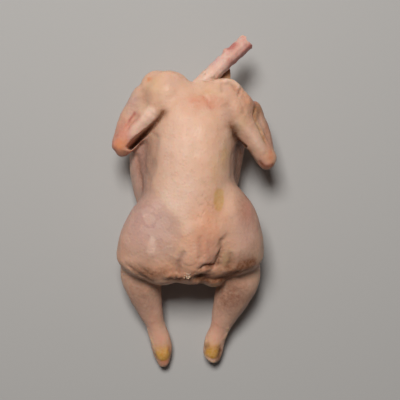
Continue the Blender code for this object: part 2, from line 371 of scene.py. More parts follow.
def new_mesh(name, points, faces):
    """A mesh from points in millimetres and the lists of the points round each face."""
    mesh = bpy.data.meshes.new(name)
    mesh.from_pydata((np.asarray(points) * MM).tolist(), [], faces)
    mesh.update()
    return mesh


def grid_faces(rows, columns, start=0, around=True):
    """Squares between neighbouring rows and columns of a grid of points, closed round if asked."""
    index = start + np.arange(rows * columns).reshape(rows, columns)
    ahead = np.roll(index, -1, axis=1)
    quads = np.stack([index[:-1], ahead[:-1], ahead[1:], index[1:]], axis=-1)
    if not around:
        quads = quads[:, :-1]
    return quads.reshape(-1, 4).tolist()


def joined(name, shells):
    """One mesh of all the closed tubes, with their two ends filled."""
    points, faces = [], []
    for shell in shells:
        rows, columns = shell.shape[:2]
        start = len(points)
        points.extend(shell.reshape(-1, 3).tolist())
        faces += grid_faces(rows, columns, start)
        faces.append((start + np.arange(columns))[::-1].tolist())
        faces.append((start + (rows - 1) * columns + np.arange(columns)).tolist())
    return new_mesh(name, points, faces)


def added(name, mesh):
    """A new object with that mesh, in the scene, at the origin."""
    obj = bpy.data.objects.new(name, mesh)
    bpy.context.scene.collection.objects.link(obj)
    return obj


def applied(obj):
    """Puts the result of the object's modifiers into its mesh and clears them."""
    graph = bpy.context.evaluated_depsgraph_get()
    mesh = bpy.data.meshes.new_from_object(obj.evaluated_get(graph))
    obj.modifiers.clear()
    obj.data = mesh
    return obj


def points_of(mesh):
    points = np.empty(len(mesh.vertices) * 3, np.float32)
    mesh.vertices.foreach_get("co", points)
    return points.reshape(-1, 3).astype(float) / MM


def set_points(mesh, points):
    mesh.vertices.foreach_set("co", (points * MM).astype(np.float32).ravel())
    mesh.update()


def normals_of(mesh):
    normals = np.empty(len(mesh.vertices) * 3, np.float32)
    mesh.vertex_normals.foreach_get("vector", normals)
    return normals.reshape(-1, 3).astype(float)


def neighbour_pull(mesh):
    """A function that gives, for the mesh's points, the way from each to the mean of its neighbours."""
    edges = np.empty(len(mesh.edges) * 2, np.int32)
    mesh.edges.foreach_get("vertices", edges)
    a, b = edges.reshape(-1, 2).T
    count = len(mesh.vertices)
    degree = np.bincount(np.concatenate([a, b]), minlength=count)[:, None]

    def pull(points):
        sums = [np.bincount(a, points[b, k], count) + np.bincount(b, points[a, k], count) for k in range(3)]
        return np.stack(sums, axis=1) / degree - points

    return pull


def nearness(points, fold):
    """Bell curve of the distance to the fold's line: 1 on it, and 1/e one half width away."""
    line = spread(fold.points, 12)
    gap = np.linalg.norm(points[:, None] - line[None], axis=2).min(axis=1)
    return np.exp(-((gap / fold.half_width) ** 2))


def draw_skin_tight(mesh):
    """Moves each point in a hollow out towards its neighbours' mean, then evens the net without shrinking it."""
    points = points_of(mesh)
    pull = neighbour_pull(mesh)
    held = np.max([nearness(points, fold) for fold in HELD_FOLDS], axis=0)[:, None]
    for _ in range(SKIN_STEPS):
        set_points(mesh, points)
        step = pull(points)
        raised = np.sum(step * normals_of(mesh), axis=1, keepdims=True)
        points = points + np.where(raised > 0, SKIN_PULL * (1 - held) * step, 0)
    for _ in range(EVENING_STEPS):
        points = points + 0.5 * pull(points)
        points = points - 0.52 * pull(points)
    set_points(mesh, points)


def subdivided(obj):
    """Catmull-Clark subdivision: each square becomes four, and the corners are rounded."""
    finer = obj.modifiers.new("finer", "SUBSURF")
    finer.levels = finer.render_levels = 1
    return applied(obj)


skin = added("skin", joined("skin", masses))
remesh = skin.modifiers.new("one skin", "REMESH")
remesh.mode = "VOXEL"
remesh.voxel_size = VOXEL * MM
applied(skin)
draw_skin_tight(skin.data)
subdivided(skin)
print("skin:", len(skin.data.vertices), "points,", 2 * len(skin.data.polygons), "triangles")

# %% [markdown]
# ## Noise at every point
#
# Loose skin, fat and meat are lumpy at several sizes at once. A texture could show that only as shading, so the
# lumps are made in the mesh: smooth noise gives soft unevenness, and cell noise gives the separate beads of fat.
# Both are worked out for all points at once from a whole-number hash, so each run gives the same bird.

# %% Noise in numpy
def hashed(cells, seed):
    """A repeatable number from 0 to 1 for each cell of whole-number coordinates: multiply, mix and mask the bits."""
    mixed = cells[..., 0] * 73856093 ^ cells[..., 1] * 19349663 ^ cells[..., 2] * 83492791 ^ (seed + 1) * 40503
    mixed = (mixed ^ (mixed >> 13)) * 1274126177
    return ((mixed ^ (mixed >> 16)) & 0xFFFFFF) / 0xFFFFFF


def noise(points, size, seed=0):
    """Smooth noise from -1 to 1: random values at the corners of cubes of that size, blended by a smooth step."""
    place = points / size
    whole = np.floor(place).astype(np.int64)
    part = place - whole
    part = part * part * (3 - 2 * part)
    total = np.zeros(len(points))
    for corner in itertools.product((0, 1), repeat=3):
        weight = np.prod(np.where(corner, part, 1 - part), axis=1)
        total += weight * hashed(whole + corner, seed)
    return 2 * total - 1


def turned(points):
    """The points turned out of line with the axes, so that the noise's cubes don't show."""
    turn = np.array([(0.36, 0.48, -0.80), (-0.80, 0.60, 0.0), (0.48, 0.64, 0.60)])
    return points @ turn.T


def rough_noise(points, size, seed=0, octaves=3):
    """Sum of noises, each half the size and half the height of the one before, turned each time."""
    total, height = np.zeros(len(points)), 1.0
    for octave in range(octaves):
        points = turned(points)
        total += height * noise(points, size / 2**octave, seed + octave)
        height *= 0.5
    return total


def beads(points, size, seed=0):
    """Rounded beads: 1 at the middle of each cell and 0 where two meet, from the two nearest of scattered middles."""
    place = points / size
    whole = np.floor(place).astype(np.int64)
    nearest = np.full(len(points), 9.0)
    second = np.full(len(points), 9.0)
    for corner in itertools.product((-1, 0, 1), repeat=3):
        cell = whole + corner
        middle = cell + np.stack([hashed(cell, seed + k) for k in range(3)], axis=1)
        gap = np.linalg.norm(place - middle, axis=1)
        second = np.minimum(second, np.maximum(nearest, gap))
        nearest = np.minimum(nearest, gap)
    return np.clip((second - nearest) * 1.6, 0, 1) ** 0.6


print("noise at the origin:", round(float(noise(np.zeros((1, 3)), 10)[0]), 3))

# %% [markdown]
# ## Creases, lumps and wrinkles
#
# Seen from above, the skin has deep creases over each drumstick, a cleft right of the tail, a furrow through the
# rump and folds in the webs of the wings, with small wrinkles running along them. Each crease is a line in plan.
# A point near it moves in by a bell curve of its distance, and the lip beside it moves out by a wider one.
# This keeps the places of the real creases, which a random pattern would not.

# %% Creases of the skin
Crease = namedtuple("Crease", "name left right depth lip ripple shade line")

CREASES = [
    Crease("left knee", 4.5, 2.4, 1.4, 0.0, 0.1, 0.25,
           [(-73, -77), (-69, -78), (-63, -82), (-56, -86), (-50, -90), (-43, -94), (-35, -98)]),
    Crease("right knee", 5.5, 2.2, 2.4, 0.0, 0.2, 0.7,
           [(36, -89), (44, -86), (52, -82.5), (61, -77)]),
    Crease("left thigh wrinkle", 1.8, 1.6, 0.6, 0.1, 0.2, 0.1, [(-58, -76), (-50, -81), (-43, -86), (-36, -88)]),
    Crease("cleft deep", 3.6, 1.8, 4.0, 0.3, 0.1, 1.0,
           [(12, -81), (17, -75), (22, -73.5), (27, -73), (31.5, -71), (33.5, -66), (34, -60), (34.5, -54)]),
    Crease("cleft middle", 3.4, 3.0, 1.5, 0.1, 0.1, 0.45, [(35.5, -60), (35.5, -52), (35, -46), (36, -40)]),
    Crease("cleft top", 2.4, 2.4, 0.7, 0.0, 0.0, 0.15, [(36, -44), (38.5, -40), (42, -36), (44, -33)]),
    Crease("fat furrow left", 3.0, 3.0, 1.0, 0.1, 0.1, 0.2, [(10, -38), (12, -48), (13, -58), (12.5, -68)]),
    Crease("fat furrow right", 3.0, 3.0, 0.8, 0.1, 0.1, 0.1, [(22, -42), (23.5, -52), (24, -62), (23, -70)]),
    Crease("lobe side", 4.0, 3.5, 1.0, 0.0, 0.0, 0.4, [(47, -54), (48, -62), (46, -70), (42, -77)]),
    Crease("under the lobe", 2.2, 2.8, 1.6, 0.0, 0.0, 0.6, [(20, -87), (27, -89), (34, -88.5), (41, -84)]),
    Crease("rump furrow", 3.0, 2.6, 1.4, 0.1, 0.1, 0.35, [(-4, -56), (-8, -66), (-10, -76), (-9, -86)]),
    Crease("under the tail", 2.2, 2.4, 1.2, 0.1, 0.1, 0.4,
           [(-31, -91), (-22, -91), (-12, -89), (-3, -88), (5, -87)]),
    Crease("right blade", 6.0, 6.0, 1.0, 0.0, 0.0, 0.2, [(31, 112), (34, 103), (36.5, 95), (39, 88)]),
    Crease("left web fold", 5.5, 6.0, 0.6, 0.0, 0.1, 0.2, [(-63, 124), (-61, 116), (-58, 107), (-55, 100)]),
    Crease("left web groove", 2.6, 3.0, 1.5, 0.2, 0.1, 0.2, [(-62, 92.5), (-68, 88), (-74, 82), (-79, 75)]),
    Crease("left web mark", 1.4, 1.4, 0.7, 0.0, 0.0, 0.0, [(-68, 96), (-71, 92.5), (-75, 87), (-79, 81)]),
    Crease("right web groove", 1.8, 2.4, 2.8, 0.3, 0.0, 0.6,
           [(66, 118), (65, 108), (65, 98), (70, 88), (76, 77), (82, 66)]),
    Crease("right shoulder", 1.3, 1.6, 1.4, 0.2, 0.0, 0.5, [(48, 128), (46, 123), (43, 118.5)]),
    Crease("behind the hem", 1.6, 3.6, 1.1, 0.2, 0.1, 0.35, [(26, 133), (34, 132.5), (40, 129), (43.5, 122)]),
    Crease("end of the hem", 1.3, 3.0, 0.8, 0.1, 0.0, 0.3, [(25, 134), (24.5, 127), (26, 119)]),
    Crease("shoulder dip", 3.0, 3.0, 0.7, 0.1, 0.2, 0.1, [(46, 112), (50, 106), (53, 98)]),
    Crease("upper back", 2.0, 2.0, 0.4, 0.1, 0.0, 0.0, [(2, 120), (6, 115), (11, 110.5), (13, 106), (20, 103)]),
    Crease("across the nape", 2.4, 2.4, 0.3, 0.0, 0.0, 0.0, [(-11, 109), (-3, 111), (6, 110)]),
    Crease("right of the nape", 1.6, 1.6, 0.3, 0.1, 0.0, 0.0, [(14, 119), (17, 116.5), (21, 112.5)]),
    Crease("breast groove", 4.5, 4.5, 1.8, 0.0, 0.0, 0.4, [(-68, 52), (-64, 37), (-60, 22), (-55, 2)]),
    Crease("left flank", 10.0, 14.0, 2.2, 0.0, 0.0, 0.0, [(-44, 78), (-47, 56), (-48, 36), (-53, 10)]),
    Crease("right flank", 9.0, 7.0, 0.8, 0.0, 0.0, 0.0, [(42, 58), (43, 46), (44, 34), (46, 16)]),
    Crease("spine", 8.0, 8.0, 0.6, 0.0, 0.0, 0.0, [(2, 104), (0, 70), (1, 36), (4, 0), (6, -28)]),
]
CREASE = {crease.name: crease for crease in CREASES}

Valley = namedtuple("Valley", "x y floor left right")

ARMPITS = [
    [Valley(-37, 94.5, 100, 2.2, 1.5), Valley(-44.5, 85, 87, 4.2, 3.0), Valley(-55, 74.6, 73, 5.2, 3.5),
     Valley(-62.3, 67.5, 61, 4.4, 3.5), Valley(-68, 61, 55, 3.8, 4.0), Valley(-73, 55.5, 54, 3.6, 4.0)],
    [Valley(40, 86, 101, 1.3, 1.6), Valley(43, 76, 84, 2.5, 2.5), Valley(50.3, 67.5, 66, 3.2, 4.0),
     Valley(59, 60.5, 55, 3.5, 4.0)],
]
VALLEY_RISE = 20.0
VALLEY_REACH = 12.0
THINNEST_WEB = 4.0

Ridge = namedtuple("Ridge", "name half_width height line")

RIDGES = [
    Ridge("left arm bone", 5.5, 1.8, [(-50, 95), (-55, 89), (-62, 82), (-70, 72), (-78, 62)]),
    Ridge("right arm bone", 5.0, 1.4, [(44, 96), (52, 86), (60, 78), (72, 66), (80, 55)]),
    Ridge("left shoulder ridge", 6.0, 1.0, [(-57, 124), (-51, 118), (-49, 109), (-46, 101)]),
    Ridge("right shoulder knob", 5.0, 1.3, [(50, 124), (56, 118), (58, 108)]),
    Ridge("torn edge of the tail", 3.5, 1.6, [(-28, -87), (-19, -86), (-10, -85), (-2, -85), (5, -83)]),
    Ridge("front hem left", 2.2, 0.8, [(-46, 138), (-36, 141), (-26, 139), (-17, 133)]),
    Ridge("front hem middle", 1.8, 0.9, [(-8, 130), (0, 134), (9, 135.5), (18, 134.5), (24, 134)]),
    Ridge("front hem right", 2.6, 1.5, [(24, 135), (32, 136), (39, 134.5), (44, 130), (45.5, 124)]),
    Ridge("head of the left arm", 4.6, 1.0, [(-47, 100), (-52, 95), (-56, 90)]),
    Ridge("left forearm", 4.0, 0.9, [(-75, 93), (-80, 83), (-85, 73), (-88, 64)]),
    Ridge("right forearm", 3.6, 0.9, [(70, 110), (75, 96), (81, 83), (87, 66)]),
]
RIDGE = {ridge.name: ridge for ridge in RIDGES}

LINE_SAMPLES = 56
SKY = 300.0
SKIN_TREE = BVHTree.FromPolygons(points_of(skin.data).tolist(), [face.vertices for face in skin.data.polygons])
OnLine = namedtuple("OnLine", "gap side share run")


@functools.lru_cache(maxsize=None)
def laid(line):
    """The curve of a line in plan, laid on the skin: a ray from above finds its height, then the heights are evened."""
    curve = spread(line, LINE_SAMPLES)
    hits = [SKIN_TREE.ray_cast((x, y, SKY), (0, 0, -1))[0] for x, y in curve]
    place = np.arange(LINE_SAMPLES)
    found = np.array([hit is not None for hit in hits])
    heights = np.array([hit.z for hit in hits if hit is not None])
    heights = np.interp(place, place[found], heights)
    padded = np.pad(heights, 3, mode="edge")
    heights = np.convolve(padded, np.ones(7) / 7, mode="valid")
    return np.column_stack([curve, heights])


def from_line(points, line, reach=30.0):
    """For points within reach of a laid line: distance, signed + on its left and - on its right, and place along it.

    The place is given as a share of the line from 0 to 1 and as a run in millimetres.
    """
    curve = laid(tuple(line))
    way = unit(np.gradient(curve[:, :2], axis=0))
    steps = np.linalg.norm(np.diff(curve, axis=0), axis=1)
    runs = np.concatenate([[0], np.cumsum(steps)])
    low, high = curve.min(axis=0) - reach, curve.max(axis=0) + reach
    inside = np.all((points > low) & (points < high), axis=1)
    offset = points[inside, None] - curve[None]
    nearest = np.einsum("ijk,ijk->ij", offset, offset).argmin(axis=1)
    offset = offset[np.arange(len(nearest)), nearest]
    away = np.linalg.norm(offset, axis=1)
    turn = np.sign(way[nearest, 0] * offset[:, 1] - way[nearest, 1] * offset[:, 0])
    found = OnLine(np.full(len(points), 1e3), np.full(len(points), 1e3), np.zeros(len(points)), np.zeros(len(points)))
    found.gap[inside], found.side[inside] = away, turn * away
    found.share[inside], found.run[inside] = nearest / (LINE_SAMPLES - 1), runs[nearest]
    return found


def smooth_step(value, low, high):
    """0 below low, 1 above high and an S curve between them."""
    share = np.clip((value - low) / (high - low), 0, 1)
    return share * share * (3 - 2 * share)


def fading(share, reach=0.16):
    """1 along the middle of a line and 0 at both its ends."""
    return smooth_step(share, 0, reach) * smooth_step(1 - share, 0, reach)


def faces_up(normals):
    """1 where the surface looks up, 0 where it looks sideways or down."""
    return smooth_step(normals[:, 2], -0.05, 0.4)


def wavering(points, reach, size, seed):
    """The points moved by smooth noise of that reach and size, so that lines and borders near them waver."""
    return points + reach * np.stack([noise(points, size, seed + k) for k in range(3)], axis=1)


def bell(gap, width):
    """1 at no gap, 1/e one width away."""
    return np.exp(-((gap / width) ** 2))


def crease_relief(points, normals):
    """Minus depth times a bell that is wider on one side, plus a lip two widths out on the narrower side.

    Ripples are ridged noise of the distance from the line and a quarter of the run, so they stretch along the crease.
    """
    relief = np.zeros(len(points))
    wander = 1 + 0.3 * noise(points, 9.0, 7)
    wavered = wavering(points, 1.7, 6.0, 3)
    uneven = 1 + 0.35 * noise(points, 9.0, 13)
    for crease in CREASES:
        found = from_line(wavered, crease.line)
        width = np.where(found.side > 0, crease.left, crease.right) * wander
        strength = fading(found.share) * uneven
        narrow = min(crease.left, crease.right)
        left_lip = bell(found.side - 2.2 * crease.left, 1.4 * crease.left) * (crease.left <= 1.3 * narrow)
        right_lip = bell(found.side + 2.2 * crease.right, 1.4 * crease.right) * (crease.right <= 1.3 * narrow)
        relief += strength * crease.lip * (left_lip + right_lip)
        relief -= strength * crease.depth * bell(found.gap, width)
        stretched = np.column_stack([found.side, 0.25 * found.run, np.zeros(len(points))])
        ripples = 1 - 2 * np.abs(noise(stretched, 4.0, 19))
        relief += strength * crease.ripple * ripples * bell(found.gap, 9.0) * (1 - bell(found.gap, 2.0))
    return relief * faces_up(normals)


def undersides(curve):
    """Where a ray from above leaves the skin again under each place of a curve: its height there."""
    heights = []
    for x, y in curve[:, :2]:
        top = SKIN_TREE.ray_cast((x, y, SKY), (0, 0, -1))[0]
        below = top and SKIN_TREE.ray_cast((x, y, top.z - 0.1), (0, 0, -1))[0]
        heights.append(below.z if below else SKY)
    return np.array(heights)


def carved(points, normals, stations):
    """Lowers the skin's upper side into a valley: height = floor + rise * (plan distance / width)^2.

    The floor stays a few millimetres above the underside, so the arm isn't cut through.
    """
    curve = spread(stations, LINE_SAMPLES)
    curve[:, 2] = np.maximum(curve[:, 2], undersides(curve) + THINNEST_WEB)
    way = unit(np.gradient(curve[:, :2], axis=0))
    low, high = curve[:, :2].min(axis=0) - VALLEY_REACH, curve[:, :2].max(axis=0) + VALLEY_REACH
    inside = np.all((points[:, :2] > low) & (points[:, :2] < high), axis=1) & (normals[:, 2] > 0)
    offset = points[inside, None, :2] - curve[None, :, :2]
    nearest = np.linalg.norm(offset, axis=2).argmin(axis=1)
    offset = offset[np.arange(len(nearest)), nearest]
    turn = way[nearest, 0] * offset[:, 1] - way[nearest, 1] * offset[:, 0]
    floor_height, left, right = curve[nearest, 2], curve[nearest, 3], curve[nearest, 4]
    gap = np.linalg.norm(offset, axis=1) / np.where(turn > 0, left, right)
    ground = floor_height + VALLEY_RISE * gap**2
    carved_points = points.copy()
    carved_points[inside, 2] = np.minimum(points[inside, 2], ground)
    return carved_points


def ridge_relief(points, normals):
    """Plus height times a bell of the distance from each ridge's line."""
    relief = np.zeros(len(points))
    wavered = wavering(points, 1.0, 6.0, 5)
    for ridge in RIDGES:
        found = from_line(wavered, ridge.line)
        relief += ridge.height * fading(found.share, 0.25) * bell(found.gap, ridge.half_width)
    return relief * faces_up(normals)


def near(points, place, size):
    """Soft blob round a place: 1 in the middle, and 1/e at an ellipsoid of that size."""
    gap = (points - np.array(place)) / np.array(size)
    return np.exp(-np.sum(gap**2, axis=1))


def near_line(points, line, width, fade=0.16):
    """Soft band along a laid line."""
    found = from_line(points, line)
    return bell(found.gap, width) * fading(found.share, fade)


def fat_furrows(points):
    """1 in the thin furrows between lobes of fat, which run mostly along the bird: ridged noise near its zero line."""
    stretched = turned(points * (1.0, 0.55, 1.0))
    broken = smooth_step(noise(points, 6.0, 95), -0.2, 0.3)
    return smooth_step(1 - np.abs(noise(stretched, 4.6, 91)), 0.84, 0.97) * broken


def lump_relief(points, normals):
    """Soft unevenness everywhere, beads of fat round the tail, and fine wrinkles where the skin is loose."""
    soft = 0.55 * rough_noise(points, 21.0, 11) + 0.22 * noise(turned(points), 8.0, 17)
    rump_zone = near(points, (4, -68, 88), (40, 27, 40))
    along_bird = points * (1.0, 0.55, 1.0)
    knee_zone = np.maximum(near_line(points, KNEES[0], 12), near_line(points, KNEES[1], 12))
    leg_zone = smooth_step(-points[:, 1], 84, 100) * smooth_step(-points[:, 1], 176, 150)
    fat = 0.55 * beads(points + 1.6 * noise(points, 6.0, 23)[:, None], 5.2, 29) * rump_zone
    fat += 0.85 * beads(along_bird + 2.0 * noise(points, 8.0, 26)[:, None], 8.0, 27) * rump_zone
    fat += 0.35 * beads(points + 0.8 * noise(points, 3.0, 24)[:, None], 2.9, 30) * rump_zone
    fat += 0.40 * beads(points, 3.6, 31) * np.maximum(0.7 * knee_zone, 0.8 * leg_zone)
    torn = near_line(points, TORN_EDGE, 5)
    fat += 2.2 * beads(wavering(points, 1.5, 4.0, 25), 6.0, 33) * torn
    folds = 1 - 2 * np.abs(noise(turned(along_bird), 8.0, 39))
    fat += 0.35 * folds * near(points, (20, -54, 95), (24, 26, 30))
    fat -= 0.35 * fat_furrows(points) * near(points, FATTY_PLACE, FATTY_SIZE)
    stretched = points * (0.35, 1.0, 1.0)
    wrinkles = 0.28 * (1 - 2 * np.abs(noise(turned(stretched), 4.2, 37))) * knee_zone
    wrinkles += 0.12 * (1 - 2 * np.abs(noise(turned(along_bird), 3.8, 38))) * rump_zone
    wing_zone = np.maximum(near(points, (-70, 92, 80), (24, 34, 30)), near(points, (66, 86, 76), (22, 34, 30)))
    wing_zone = wing_zone * (1 - in_armpits(points, 12))
    along_wing = points @ np.array([(0.6, 0.45, 0.0), (-0.8, 0.9, 0.0), (0.0, 0.0, 1.0)]).T
    wrinkles += 0.35 * (1 - 2 * np.abs(noise(along_wing, 7.0, 41))) * wing_zone
    return soft + fat + wrinkles


KNEES = [CREASE["left knee"].line, CREASE["right knee"].line]
TORN_EDGE = [(-28, -90), (-18, -88), (-8, -86), (0, -86), (6, -83)]
FATTY_PLACE = (14, -12, 108)
FATTY_SIZE = (15, 28, 30)
RIM_LINES = [
    [(-43, -153), (-40.5, -162), (-37, -170), (-34.5, -179), (-31, -187.5)],
    [(28, -162), (25.2, -172), (26, -181), (30, -186.5), (36, -190), (40, -189.5)],
    [(51, -146), (50, -154), (47.5, -162)],
]
Hock = namedtuple("Hock", "middle along half_width")
HOCKS = [Hock((-23.6, -184.5), (0.26, -0.966), 8.8), Hock((34.8, -178.5), (0.0, -1.0), 8.8)]


def over_hock(points, hock):
    """Plan distance in from the pad's rounded edge, and distance out along the leg from the pad's middle."""
    gap = points[:, :2] - hock.middle
    out = gap @ np.array(hock.along)
    across = gap @ np.array((hock.along[1], -hock.along[0]))
    return hock.half_width - np.hypot(across, np.maximum(out, 0) * 1.1), out


def hock_pads(points):
    """Mask of the yellow pads on top of the hocks: a clear rounded edge at sides and tip, fading in from the shank."""
    masks = []
    for hock in HOCKS:
        inward, out = over_hock(points, hock)
        masks.append(smooth_step(inward, -0.8, 1.4) * smooth_step(out, -17, 0))
    return np.maximum(*masks) * smooth_step(points[:, 2], 12, 18)


def hock_edges(points):
    """Thin band along the pads' edges at the sides, gone at the tip."""
    masks = []
    for hock in HOCKS:
        inward, out = over_hock(points, hock)
        masks.append(bell(inward, 1.5) * smooth_step(out, -12, -3) * smooth_step(-out, -9, -2))
    return np.maximum(*masks) * smooth_step(points[:, 2], 12, 18)


def hock_relief(points):
    """A raised edge of cut skin round each hock, and a groove inside it where the pad begins."""
    wavered = wavering(points, 0.8, 4.0, 43)
    rims = np.max([near_line(wavered, line, 1.7, 0.08) for line in RIM_LINES], axis=0)
    return 1.4 * rims - 0.8 * hock_edges(wavered) + 0.6 * hock_pads(wavered)


def vent_relief(points):
    """The hollow of the vent and the lump of fat right of it."""
    return 3.4 * near(points, (32.5, -79.5, 84), (8.5, 5.5, 14)) - 7.5 * near(points, (13, -85, 82), (7.0, 4.2, 9))


def elbow_relief(points):
    """The elbows narrow to their ends, so their outer corners go in."""
    return -3.2 * near(points, (-94, 47, 64), (7, 8, 18)) - 2.2 * near(points, (94, 45, 62), (7, 8, 16))


def evened(values, pull, steps):
    """Values blended with those of their neighbours, over and over."""
    for _ in range(steps):
        values = values + pull(values)
    return values


CALMING_STEPS = 5


def in_armpits(points, width):
    """Bell of the distance to the nearer armpit's axis."""
    gaps = []
    for armpit in ARMPITS:
        axis = spread(armpit, 24)[:, :3] + (0, 0, 2)
        gaps.append(np.min([np.linalg.norm(points - place, axis=1) for place in axis], axis=0))
    return bell(np.minimum(*gaps), width)



points = points_of(skin.data)
pull = neighbour_pull(skin.data)
calm_normals = unit(evened(normals_of(skin.data), pull, 8))
off_table = smooth_step(points[:, 2], 1.0, 8.0)
relief = crease_relief(points, calm_normals) + ridge_relief(points, calm_normals)
relief += vent_relief(points) + elbow_relief(points)
points = points + calm_normals * (relief * off_table)[:, None]
for armpit in ARMPITS:
    points = carved(points, calm_normals, armpit)
points = points + 0.5 * pull(points)
points = points - 0.52 * pull(points)
under_arms = in_armpits(points, 9)[:, None]
for _ in range(CALMING_STEPS):
    points = points + 0.6 * smooth_step(under_arms, 0.3, 0.8) * pull(points)
set_points(skin.data, points)
normals = unit(evened(normals_of(skin.data), pull, 1))
fine_relief = lump_relief(points, normals) + hock_relief(points)
points = points + normals * (fine_relief * off_table)[:, None]
points[:, 2] = np.maximum(points[:, 2], 0)
points = np.clip(points, np.array(CAD_BOX[0]) / MM, np.array(CAD_BOX[1]) / MM)
set_points(skin.data, points)
skin.data.shade_smooth()
print("folds from", round(relief.min(), 2), "to", round(relief.max(), 2), "mm;",
      "lumps from", round(fine_relief.min(), 2), "to", round(fine_relief.max(), 2), "mm")

# %% [markdown]
# ## Where each colour lies
#
# Raw skin is never one colour: fat under it is yellow, blood makes it pink and bare muscle shows through as violet.
# Shade is painted into the colour too, as dark brown in creases, hollows and on surfaces turned from the light, and
# some violet and pale zones carry painted shade and painted light. These zones belong to places on the bird, so each
# is a mask worked out at every point and kept in the mesh as an attribute, which the material reads. The mask's edges
# are broken up by noise.

# %% Colour zones as attributes of the skin
def put_attribute(mesh, name, values):
    """Keeps one number for each point under that name, for the material to read."""
    layer = mesh.attributes.new(name, "FLOAT", "POINT")
    layer.data.foreach_set("value", np.clip(values, 0, 1).astype(np.float32))


def patches(points, size, seed):
    """One random value from 0 to 1 for each cell of scattered middles, so that neighbours meet at a clear edge."""
    place = points / size
    whole = np.floor(place).astype(np.int64)
    nearest, value = np.full(len(points), 9.0), np.zeros(len(points))
    for corner in itertools.product((-1, 0, 1), repeat=3):
        cell = whole + corner
        middle = cell + np.stack([hashed(cell, seed + k) for k in range(3)], axis=1)
        gap = np.linalg.norm(place - middle, axis=1)
        value = np.where(gap < nearest, hashed(cell, seed + 9), value)
        nearest = np.minimum(nearest, gap)
    return value


VIOLET_EDGE = [(-46, 12), (-34, -2), (-25, -10), (-17, -18), (-10, -29), (-8, -41), (-14, -56)]
CREAM_LINE = [(-38, 12), (-28, 0), (-17, -9), (-8, -18), (-2, -30), (0, -42)]
PINK_LINES = [CREASE["upper back"].line, CREASE["across the nape"].line, CREASE["right of the nape"].line]
ARM_BAR = [(-48, 98), (-55, 90), (-62, 81), (-70, 71), (-78, 60), (-82, 53)]
RIGHT_ELBOW_CUT = [(73, 51), (77, 46), (82, 43.5), (88, 44), (92, 47)]
LEFT_ELBOW_EDGE = [(-92, 54), (-90, 50), (-84, 49), (-77, 51)]


def off_arms(points):
    """0 on the upper arms and 1 on the trunk behind them."""
    arms = [near_line(points, line, 15, 0.02) for line in (ARM_BAR, RIDGE["right arm bone"].line)]
    return 1 - smooth_step(np.maximum(*arms), 0.25, 0.6)


def oval(points, place, size):
    """A spot with a clear edge: 1 inside the ellipsoid of that size and 0 outside it."""
    return smooth_step(near(points, place, size), 0.25, 0.5)


def pink_zone(p, q):
    """Blood under the skin: over the nape, round the elbows, in the web of the left wing and down the shanks."""
    pink = 0.35 * near(p, (6, 110, 104), (24, 9, 20)) + 0.25 * near(p, (14, 105, 104), (9, 5, 20))
    pink += 0.35 * np.max([near_line(q, line, 2.6) for line in PINK_LINES], axis=0)
    pink += 0.6 * near(p, (20, -52, 100), (14, 22, 26)) + 0.5 * near(p, (84, 62, 68), (8, 20, 20))
    pink += 1.0 * near(p, (-84, 72, 76), (10, 14, 20)) + 1.3 * near(p, (-91, 54, 70), (8, 12, 16))
    pink += 0.5 * near_line(q, CREASE["left web groove"].line, 6) + 0.3 * near(p, (-76, 54, 72), (7, 7, 12))
    pink += 0.4 * near(p, (80, 84, 66), (7, 18, 14)) + 0.25 * near_line(q, ARM_BAR, 6)
    pink += 0.5 * near(p, (-38, -140, 24), (10, 26, 20)) + 0.5 * near(p, (40, -148, 24), (10, 22, 20))
    pink += 0.5 * near(q, (-27, -166, 24), (6, 9, 14)) + 0.7 * near(q, (-21, -194, 18), (7, 5, 10))
    pink += 0.6 * near(p, (64, -6, 92), (10, 18, 24)) + 0.5 * near(q, (44, 121, 90), (3, 6, 10))
    return pink + 0.5 * near(p, (66, 116, 78), (6, 12, 14)) + 0.4 * near(p, (58, 84, 84), (6, 16, 12))


def orange_zone(p, q):
    """Warm fat: in the elbows, over the nape, along the tail and on the thighs' edges."""
    orange = 1.2 * near(p, (-83, 59, 76), (7, 7, 16)) + 1.0 * near(p, (87, 56, 70), (7, 11, 16))
    orange += 0.55 * near(p, (0, -80, 86), (44, 14, 20)) + 1.1 * near(q, (-56, 132, 91), (3.6, 2.8, 9))
    orange += 0.5 * near(p, (18, -24, 110), (22, 36, 24)) + 0.6 * near(p, (56, 112, 91), (10, 14, 12))
    orange += 0.45 * near(p, (40, -88, 70), (16, 8, 16)) + 0.5 * near(p, (-72, -62, 66), (10, 18, 20))
    orange += 0.7 * near(q, (-17, -182, 20), (4, 12, 12)) + 0.8 * near(q, (42, -180, 22), (4, 9, 12))
    orange += 0.5 * near(p, (8, 110, 104), (22, 8, 20)) + 0.6 * near(q, (-22, -193, 18), (8, 5, 10))
    return orange + 0.4 * near(q, (40, 127, 97), (6, 4, 8))


def yellow_zone(p, q):
    """Yellow fat: the clear patch on the right of the back, and fainter on shoulders, webs and beside the tail."""
    yellow = 1.0 * oval(q, (30, 2, 107), (6.5, 13, 16)) + 0.6 * near(p, (33, 52, 104), (4, 14, 12))
    yellow += 0.6 * near(p, (42, -64, 90), (6, 10, 20)) + 0.35 * near(p, (24, 34, 112), (5, 16, 12))
    yellow += 0.8 * near(q, (31, -100, 66), (5, 7, 14)) + 0.45 * near(p, (-46, 126, 94), (11, 9, 12))
    yellow += 0.8 * near_line(q, CREASE["right web groove"].line, 3) + 0.6 * near(q, (69, 110, 76), (4, 9, 12))
    yellow += 0.8 * near(q, (-87, 57, 78), (4, 4, 12)) + 0.4 * near(p, (50, 88, 96), (7, 12, 12))
    return yellow + 0.45 * near(p, (14, 121, 104), (14, 4, 12))


